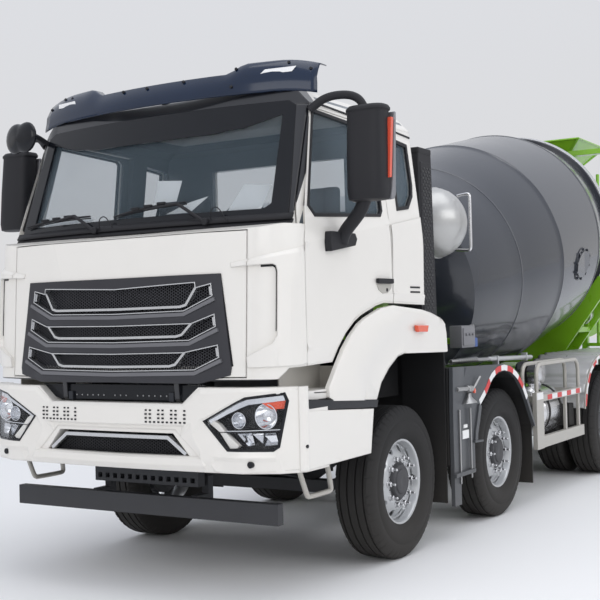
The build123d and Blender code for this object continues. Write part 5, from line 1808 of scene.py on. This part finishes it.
def drum_hatch(made):
    """Oval cover with bolts, low on the barrel."""
    side = DRUM_AXIS.cross(DRUM_UP)
    for half_a, half_b, out in ((0.24, 0.17, 0.010), (0.20, 0.13, 0.022)):
        rows = []
        for i in range(28):
            turn = 2 * math.pi * i / 28
            along = 0.6 + half_a * math.cos(turn)
            angle = 1.75 + half_b * math.sin(turn) / 1.156
            way = DRUM_UP * math.cos(angle) + side * math.sin(angle)
            rows.append((DRUM_SEAM + DRUM_AXIS * along + way * 1.15,
                         DRUM_SEAM + DRUM_AXIS * along + way * (1.156 + out)))
        low, high = [made.verts.new(p) for p, _ in rows], [made.verts.new(q) for _, q in rows]
        made.faces.new(high)
        for i in range(28):
            j = (i + 1) % 28
            made.faces.new((low[i], low[j], high[j], high[i]))
    for i in range(10):
        turn = 2 * math.pi * (i + 0.5) / 10
        along, angle = 0.6 + 0.22 * math.cos(turn), 1.75 + 0.15 * math.sin(turn) / 1.156
        way = DRUM_UP * math.cos(angle) + side * math.sin(angle)
        foot = DRUM_SEAM + DRUM_AXIS * along + way * 1.164
        add_turned(made, [(0, 0), (0, 0.014), (0.014, 0.014), (0.016, 0.011), (0.016, 0)], foot, way,
                   DRUM_AXIS, 6)


piece("drum_hatch", "drum", "drum", solid(drum_hatch))


def gearbox(made):
    add_turned(made,
               [(-2.42, 0), (-2.42, 0.085), (-2.41, 0.095), (-2.27, 0.10), (-2.265, 0.14), (-2.25, 0.15),
                (-2.25, 0.196), (-2.20, 0.205), (-2.195, 0.225),
                      (-2.165, 0.225), (-2.16, 0.21), (-1.99, 0.215), (-1.985, 0.238), (-1.95, 0.24),
                      (-1.90, 0.24), (-1.895, 0.19), (-1.85, 0.165),
                      (-1.84, 0.145), (-1.836, 0.0)], DRUM_SEAM, DRUM_AXIS, DRUM_UP, 64)
    side = DRUM_AXIS.cross(DRUM_UP)
    for i in range(16):
        angle = 2 * math.pi * i / 16
        way = DRUM_UP * math.cos(angle) + side * math.sin(angle)
        foot = DRUM_SEAM + DRUM_AXIS * -1.99 + way * 0.225
        add_turned(made, [(0, 0), (0, 0.011), (-0.012, 0.011), (-0.012, 0)], foot, DRUM_AXIS, way, 6)
    for k in range(5):
        add_turned(made, [(0, 0.0), (0, 0.222), (0.008, 0.222), (0.008, 0)],
                   DRUM_SEAM + DRUM_AXIS * (-2.14 + 0.028 * k), DRUM_AXIS, DRUM_UP, 64)
    add_block(made, at(-1.62, -0.15, 1.56), at(-1.37, 0.15, 1.72), 0.008)
    for y in (-0.12, 0.12):
        for x in (-1.59, -1.40):
            add_turned(made, [(0, 0), (0, 0.016), (0.014, 0.016), (0.016, 0.012), (0.016, 0)], at(x, y, 1.72),
                       UP, AHEAD, 6)


piece("gearbox", "chassis", "engine", solid(gearbox, smooth=30), ["drum_mounts"])


def rollers(made):
    for side in (1, -1):
        turn = math.radians(34)
        centre = on_drum(1.905, -1.2045 * math.cos(turn), side * 1.2045 * math.sin(turn))
        add_turned(made,
                   [(-0.11, 0), (-0.11, 0.036), (-0.052, 0.04), (-0.052, 0.116), (-0.046, 0.123),
                    (0.046, 0.123), (0.052, 0.116), (0.052, 0.04),
                          (0.11, 0.036), (0.11, 0)], centre, DRUM_AXIS, DRUM_UP, 56)


piece("rollers", "chassis", "bright", solid(rollers, smooth=30))


def roller_seats(made):
    for side in (1, -1):
        side_block(made, side, (-5.74, 0.64, 1.44), (-5.31, 0.72, 1.50), 0.006)
        side_block(made, side, (-5.71, 0.64, 1.50), (-5.685, 0.72, 1.68), 0.004)
        side_block(made, side, (-5.505, 0.64, 1.50), (-5.48, 0.72, 1.71), 0.004)


piece("roller_seats", "chassis", "green", solid(roller_seats))

# ---------------------------------------------------------------- rear fenders, side tanks and tail

REAR_ARCH = [(-3.80, 0.725), (-3.812, 0.80), (-3.85, 0.905), (-3.91, 1.01), (-3.99, 1.09), (-4.11, 1.165),
             (-4.25, 1.213), (-4.50, 1.243), (-6.10, 1.243),
             (-6.22, 1.228), (-6.33, 1.188), (-6.44, 1.115), (-6.52, 1.02), (-6.57, 0.89), (-6.60, 0.76),
             (-6.60, 0.70)]
for name, side in SIDES.items():
    def ribbed(made, side=side):
        line = fine_line([tuple(p) for p in REAR_ARCH], 0.012, closed=False)
        run, rows = 0.0, []
        for i, p in enumerate(line):
            before, after = line[max(0, i - 1)], line[min(len(line) - 1, i + 1)]
            run += math.dist(p, before)
            way = Vector((after[0] - before[0], after[1] - before[1])).normalized()
            cell = (run % 0.205) / 0.205
            lift = -0.002 - 0.024 * min(1, max(0, 0.30 - abs(cell - 0.5)) / 0.10)
            normal = Vector((way.y, -way.x))
            u, v = p[0] + normal.x * lift, p[1] + normal.y * lift
            rows.append([at(u, side * y, v) for y in (0.592, 0.62, 0.90, 1.21, 1.238)])
        sheet_of(rows)(made)

    sheet = piece(f"rear_fender_skin_{name}", "chassis", "fender_steel", solid(ribbed, smooth=50),
                  ["rear_fenders"])
    thick(sheet, 0.004, 0)

    def fender_edges(made, side=side):
        strip(made,
              [(u + (0.004 if v < 1.2 and u > -5 else -0.004 if v < 1.2 else 0), v - 0.006) for u,
               v in REAR_ARCH], 0.024,
              side_put(side, 1.2445), 0.0, 0.010)
        for x in (-3.90, -5.275, -6.42):
            side_block(made, side, (x - 0.02, 0.43, 0.90), (x + 0.02, 0.60, 0.94), 0.004)
            side_block(made, side, (x - 0.02, 0.60, 0.90), (x + 0.02, 0.64, 1.08 if x != -5.275 else 1.225),
                       0.004)

    piece(f"rear_fender_edge_{name}", "chassis", "guard", solid(fender_edges))

    def tanks(made, side=side):
        dome = [(0.0, 0.0), (0.0, 0.10), (0.008, 0.17), (0.028, 0.215), (0.06, 0.238), (0.56, 0.238),
                (0.592, 0.215), (0.612, 0.17), (0.62, 0.10), (0.62, 0.0)]
        add_turned(made, dome, at(-3.0, side * 0.87, 0.745), BACK, UP, 56)
        can = [(0.0, 0.0), (0.0, 0.06), (0.01, 0.10), (0.04, 0.118), (0.22, 0.118), (0.25, 0.10),
               (0.26, 0.06), (0.26, 0.0)]
        add_turned(made, can, at(-3.35, side * 0.72, 1.09), (0, side, 0), (0, 0, 1), 40)
        add_turned(made, [(0, 0), (0, 0.045), (0.03, 0.045), (0.034, 0.038), (0.034, 0)],
                   at(-3.12, side * 0.93, 0.972), (0, side * 0.3, 1), (1, 0, 0), 32)

    piece(f"tank_shells_{name}", "chassis", "bright", solid(tanks, smooth=30), ["side_tanks"])

    def straps(made, side=side):
        for x in (-3.15, -3.47):
            add_turned(made, [(-0.022, 0.2), (-0.022, 0.2415), (0.022, 0.2415), (0.022, 0.2)],
                       at(x, side * 0.87, 0.745), AHEAD, UP, 48)
            side_block(made, side, (x - 0.03, 0.43, 0.70), (x + 0.03, 0.72, 0.80), 0.006)
        side_block(made, side, (-3.38, 0.74, 0.96), (-3.32, 0.86, 1.0), 0.004)
        add_turned(made, [(-0.012, 0.10), (-0.012, 0.1205), (0.012, 0.1205), (0.012, 0.10)],
                   at(-3.35, side * 0.85, 1.09), LEFT, UP, 40)
        # grey valve block low on the guard's side
        side_block(made, side, (-3.66, 1.02, 0.58), (-3.52, 1.17, 0.79), 0.01)

    piece(f"tank_straps_{name}", "chassis", "rubber", solid(straps, smooth=30))

TAIL_X = -6.69


def tail_details(made):
    for side in (1, -1):
        for y in (0.86, 0.975, 1.09):
            side_block(made, side, (TAIL_X - 0.046, y - 0.048, 0.578), (TAIL_X - 0.036, y + 0.048, 0.662),
                       0.004)
        add_turned(made, [(0, 0), (0, 0.032), (0.008, 0.03), (0.008, 0)],
                   at(TAIL_X - 0.002, side * 0.60, 0.495), BACK, UP, 24)


piece("tail_lenses", "chassis", "red", solid(tail_details, smooth=30))


def tail_frames(made):
    for side in (1, -1):
        side_block(made, side, (TAIL_X - 0.036, 0.79, 0.556), (TAIL_X - 0.02, 1.16, 0.684), 0.006)
    add_block(made, at(TAIL_X - 0.012, -0.24, 0.585), at(TAIL_X - 0.002, 0.24, 0.70), 0.004)
    for y in (-0.2, 0.2):
        add_block(made, at(TAIL_X - 0.006, y - 0.012, 0.53), at(TAIL_X + 0.03, y + 0.012, 0.60), 0.003)


piece("tail_frames", "chassis", "rubber", solid(tail_frames))


def tail_tape(made):
    for k in range(0, 12, 2):
        y = -1.14 + k * 0.19
        add_block(made, at(TAIL_X - 0.002, y, 0.475), at(TAIL_X + 0.001, y + 0.185, 0.515))


piece("tail_tape", "chassis", "tape_red", solid(tail_tape))

# ---------------------------------------------------------------- hopper, chute and ladder trim


def hopper_trim(made):
    top = [(-6.01, 0.56), (-6.01, -0.56), (-7.06, -0.56), (-7.06, 0.56)]
    for (x0, y0), (x1, y1) in zip(top, top[1:] + top[:1]):
        add_rod(made, at(x0, y0, 3.728), at(x1, y1, 3.728), 0.011, 10)
    foot = [(-6.27, 0.28), (-6.27, -0.28), (-6.86, -0.28), (-6.86, 0.28)]
    for i, ((x0, y0), (x1, y1)) in enumerate(zip(foot, foot[1:] + foot[:1])):
        add_rod(made, at(x0, y0, 3.472), at(x1, y1, 3.472), 0.012, 10)
        tx, ty = top[i]
        add_rod(made, at(tx + (x0 - tx) * 0.05, ty + (y0 - ty) * 0.05, 3.715), at(x0, y0, 3.472), 0.011, 8)
    # ribs down the throat
    for side in (1, -1):
        add_prism(made,
                  [at(x, side * 0.281, z) for x,
                   z in ((-6.40, 3.46), (-6.43, 3.46), (-6.36, 2.83), (-6.33, 2.83))], (0, side * 0.02, 0))
        add_prism(made,
                  [at(x, side * 0.281, z) for x,
                   z in ((-6.66, 3.46), (-6.69, 3.46), (-6.52, 2.90), (-6.49, 2.90))], (0, side * 0.02, 0))
        add_rod(made, at(-7.13, side * 0.556, 2.478), at(-6.535, side * 0.556, 2.478), 0.012, 10)


piece("hopper_trim", "chassis", "green", solid(hopper_trim, smooth=40))


def ladder_trim(made):
    for step in range(7):
        z = 1.40 + 0.28 * step
        x = -6.44 - 0.16 * (z - 1.29) / 2.06
        for k in range(9):
            y = 0.625 + k * 0.0385
            add_rod(made, at(x, y, z), at(x, y + 0.016, z), 0.0185, 10)
    for k in range(9):
        y = 0.60 + k * 0.045
        add_block(made, at(-6.615, y, 2.50), at(-6.485, y + 0.018, 2.505))


piece("ladder_treads", "chassis", "steel", solid(ladder_trim))


def straight_pipes(made):
    for side in (1, -1):
        add_rod(made, at(-1.96, side * 0.52, 1.14), at(-3.0, side * 0.52, 1.14), 0.016, 12)


piece("frame_pipes", "chassis", "bright", solid(straight_pipes, smooth=40))
for name, side in SIDES.items():
    def shield(made, side=side):
        side_block(made, side, (-0.645, 0.48, 0.98), (-0.63, 0.94, 1.66), 0.004)
        for k in range(6):
            side_block(made, side, (-0.651, 0.53 + 0.07 * k, 1.0), (-0.645, 0.545 + 0.07 * k, 1.64), 0.002)

    piece(f"splash_shield_{name}", "chassis", "rubber", solid(shield))
for k, points in enumerate((
        [(-2.40, 0.1, 0.98), (-2.2, 0.16, 1.05), (-1.9, 0.22, 1.16), (-1.7, 0.2, 1.35), (-1.62, 0.16, 1.62)],
        [(-2.40, -0.1, 0.98), (-2.2, -0.16, 1.05), (-1.9, -0.22, 1.16), (-1.7, -0.2, 1.35),
         (-1.62, -0.16, 1.62)],
        [(-0.46, 0.40, 1.12), (-0.62, 0.44, 1.22), (-0.82, 0.50, 1.18), (-0.98, 0.55, 1.14),
         (-1.30, 0.53, 1.16)])):
    pipe(f"hose_{k}", "chassis", "rubber", [at(*p) for p in points], 0.018)


# ---------------------------------------------------------------- seats and dashboard


PAD_VOXEL, PAD_GROWTH, PAD_PRESSURE, PAD_FRAMES = 0.014, 0.014, 4, 20


def puffed(low, high, grow=PAD_GROWTH):
    """A pad blown up from a rounded box by Cloth pressure; no point moves farther than grow."""
    start = solid(lambda made: add_block(made, Vector(low) + Vector((grow,) * 3),
                                         Vector(high) - Vector((grow,) * 3), 0.035))
    work = bpy.data.objects.new("pad_work", start)
    bpy.context.collection.objects.link(work)
    even = work.modifiers.new("even", "REMESH")
    even.mode = "VOXEL"
    even.voxel_size = PAD_VOXEL
    bpy.context.view_layer.update()
    mesh = bpy.data.meshes.new_from_object(work.evaluated_get(bpy.context.evaluated_depsgraph_get()))
    bpy.data.objects.remove(work)
    before = [v.co.copy() for v in mesh.vertices]
    work = bpy.data.objects.new("pad_work", mesh)
    bpy.context.collection.objects.link(work)
    cloth = work.modifiers.new("cloth", "CLOTH")
    cloth.settings.use_pressure = True
    cloth.settings.uniform_pressure_force = PAD_PRESSURE
    cloth.settings.effector_weights.gravity = 0
    cloth.settings.quality = 5
    for moment in range(1, PAD_FRAMES + 1):
        bpy.context.scene.frame_set(moment)
    after = bpy.data.meshes.new_from_object(work.evaluated_get(bpy.context.evaluated_depsgraph_get()))
    bpy.data.objects.remove(work)
    bpy.context.scene.frame_set(1)
    for vert, was in zip(after.vertices, before):
        step = vert.co - was
        if step.length > grow:
            vert.co = was + step * (grow / step.length)
    return after


def sewn(mesh, channels, depth=0.008, width=0.012):
    """Sinks a groove where a channel, (axis, place, facing), crosses the pad's crowned side."""
    for vert in mesh.vertices:
        for axis, place, facing in channels:
            gap = abs(vert.co[axis] - place) / width
            if gap < 2 and vert.normal.dot(Vector(facing)) > 0.2:
                vert.co -= Vector(facing) * depth * math.exp(-gap * gap)
    return mesh


FACE = {"cushion": (at(0.17, 0.30, 1.85), at(0.69, 0.82, 1.98)),
        "backrest": (at(0.13, 0.31, 1.99), at(0.25, 0.81, 2.61))}
cushion = sewn(puffed(*FACE["cushion"]),
               [(1, 0.43, (0, 0, 1)), (1, 0.69, (0, 0, 1)), (0, at(0.36, 0, 0).x, (0, 0, 1)),
                (0, at(0.52, 0, 0).x, (0, 0, 1))])
backrest = sewn(puffed(*FACE["backrest"]),
                [(1, 0.43, (1, 0, 0)), (1, 0.69, (1, 0, 0)), (2, 2.20, (1, 0, 0)), (2, 2.38, (1, 0, 0))])
for key, mesh in (("cushion", cushion), ("backrest", backrest)):
    mesh.shade_smooth()
    for name, side in SIDES.items():
        copy = mesh.copy()
        if side < 0:
            for vert in copy.vertices:
                vert.co.y = -vert.co.y
            copy.flip_normals()
        copy.materials.clear()
        pad = piece(f"{key}_{name}", "cab", "cloth", copy, ["seats"] if key == "cushion" else ())
        smoothed(pad, 1)


def seat_bases(made):
    for side in (1, -1):
        side_block(made, side, (0.24, 0.36, 1.79), (0.62, 0.76, 1.846), 0.012)
        side_block(made, side, (0.14, 0.36, 1.79), (0.20, 0.76, 1.985), 0.01)
        for y in (0.40, 0.72):
            add_rod(made, at(0.20, side * y, 1.80), at(0.66, side * y, 1.80), 0.011, 10)
        # belt stalk and side trim
        add_block(made, at(0.26, side * 0.285 - 0.008, 1.83), at(0.58, side * 0.285 + 0.008, 1.87), 0.006)


piece("seat_bases", "cab", "black", solid(seat_bases, smooth=40))


def dash_trim(made):
    # binnacle hood, centre stack, vents and glove box lid
    hood = [at(x, 0.36, z) for x,
            z in ((1.06, 2.20), (1.08, 2.255), (1.14, 2.27), (1.24, 2.235), (1.24, 2.20))]
    add_prism(made, hood, (0, 0.4, 0))
    for y in (-0.9, -0.3, 0.16, 0.93):
        add_block(made, at(1.036, y - 0.06, 2.13), at(1.052, y + 0.06, 2.18), 0.006)
        for k in range(4):
            add_block(made, at(1.032, y - 0.054, 2.137 + k * 0.0105),
                      at(1.038, y + 0.054, 2.141 + k * 0.0105))
    add_block(made, at(1.034, -0.12, 1.99), at(1.052, 0.09, 2.115), 0.008)
    add_block(made, at(1.040, -0.84, 1.985), at(1.052, -0.40, 2.10), 0.012)
    for k in range(6):
        add_turned(made, [(0, 0), (0, 0.011), (0.012, 0.010), (0.012, 0)], at(1.034, -0.09 + k * 0.03, 2.01),
                   BACK, UP, 16)


piece("dash_trim", "cab", "panel", solid(dash_trim, smooth=30))


def wheel_trim(made):
    axis = Vector((-190, 0, 140)).normalized()
    centre = at(0.922, 0.56, 2.236)
    up = Vector((140, 0, 190)).normalized()
    side = axis.cross(up)
    grip = [(0.0165 * math.cos(math.pi * k / 6),
             0.21 + 0.0165 * math.sin(math.pi * k / 6)) for k in range(12)]
    add_turned(made, grip, centre, axis, up, 64)
    for angle in (1.6, -1.6, math.pi + 0.5, math.pi - 0.5):
        way = up * math.cos(angle) + side * math.sin(angle)
        add_rod(made, centre - axis * 0.012, centre + way * 0.205, 0.011, 10)
    add_turned(made, [(-0.03, 0), (-0.03, 0.062), (0.006, 0.058), (0.012, 0.045), (0.014, 0)], centre, axis,
               up, 32)


piece("steering_trim", "cab", "gloss_black", solid(wheel_trim, smooth=40))


# ---------------------------------------------------------------- stage, light and camera


def plain(name, color, rough=0.9):
    mat = bpy.data.materials.new(name)
    mat.use_nodes = True
    shader = mat.node_tree.nodes["Principled BSDF"]
    shader.inputs["Base Color"].default_value = (*color, 1)
    shader.inputs["Roughness"].default_value = rough
    return mat


floor_mesh = bpy.data.meshes.new("floor")
floor_mesh.from_pydata([(-60, -60, 0), (60, -60, 0), (60, 60, 0), (-60, 60, 0)], [], [(0, 1, 2, 3)])
floor_mesh.materials.append(plain("floor", (0.88, 0.88, 0.88)))
floor = bpy.data.objects.new("floor", floor_mesh)
bpy.context.collection.objects.link(floor)

world = bpy.data.worlds.new("studio")
bpy.context.scene.world = world
world.use_nodes = True
tree = world.node_tree
coords = tree.nodes.new("ShaderNodeTexCoord")
split = tree.nodes.new("ShaderNodeSeparateXYZ")
ramp = tree.nodes.new("ShaderNodeValToRGB")
tree.links.new(coords.outputs["Generated"], split.inputs[0])
tree.links.new(split.outputs["Z"], ramp.inputs["Fac"])
ramp.color_ramp.elements[0].position = 0.0
ramp.color_ramp.elements[0].color = (0.80, 0.80, 0.81, 1)
ramp.color_ramp.elements[1].position = 0.9
ramp.color_ramp.elements[1].color = (0.86, 0.90, 1.0, 1)
tree.links.new(ramp.outputs["Color"], tree.nodes["Background"].inputs["Color"])
tree.nodes["Background"].inputs["Strength"].default_value = 0.88


def soft_light(name, place, target, size, power, color=(1, 1, 1)):
    data = bpy.data.lights.new(name, "AREA")
    data.shape = "RECTANGLE"
    data.size, data.size_y = size
    data.energy = power
    data.color = color
    lamp = bpy.data.objects.new(name, data)
    lamp.location = place
    lamp.rotation_euler = (Vector(target) - Vector(place)).to_track_quat("-Z", "Y").to_euler()
    bpy.context.collection.objects.link(lamp)
    return lamp


soft_light("sky_panel", (2, 3, 14), (0, 0, 1), (14, 10), 560)
soft_light("front_panel_light", (16, 2, 7), (4, 0, 1.6), (8, 6), 260, (1, 0.99, 0.97))
soft_light("side_panel_light", (3, 15, 8), (0, 0, 1.6), (12, 6), 420)

CAMERA_SPOT = at(6.92312, 4.59424, 1.6651)
CAMERA_TURN = (211.6193, 0.98558, -1.40351)  # yaw, pitch and roll in degrees
LENS = 66.648

camera_data = bpy.data.cameras.new("camera")
camera_data.sensor_width = 36
camera_data.lens = LENS
camera = bpy.data.objects.new("camera", camera_data)
bpy.context.collection.objects.link(camera)
yaw, pitch, roll = (math.radians(v) for v in CAMERA_TURN)
forward = Vector((math.cos(yaw) * math.cos(pitch), math.sin(yaw) * math.cos(pitch), math.sin(pitch)))
right = Vector((math.sin(yaw), -math.cos(yaw), 0))
upward = right.cross(forward)
right, upward = (right * math.cos(roll) + upward * math.sin(roll),
                 upward * math.cos(roll) - right * math.sin(roll))
turn = Matrix((right, upward, -forward)).transposed().to_4x4()
camera.matrix_world = Matrix.Translation(CAMERA_SPOT) @ turn
bpy.context.scene.camera = camera
bpy.context.scene.view_settings.view_transform = "Standard"
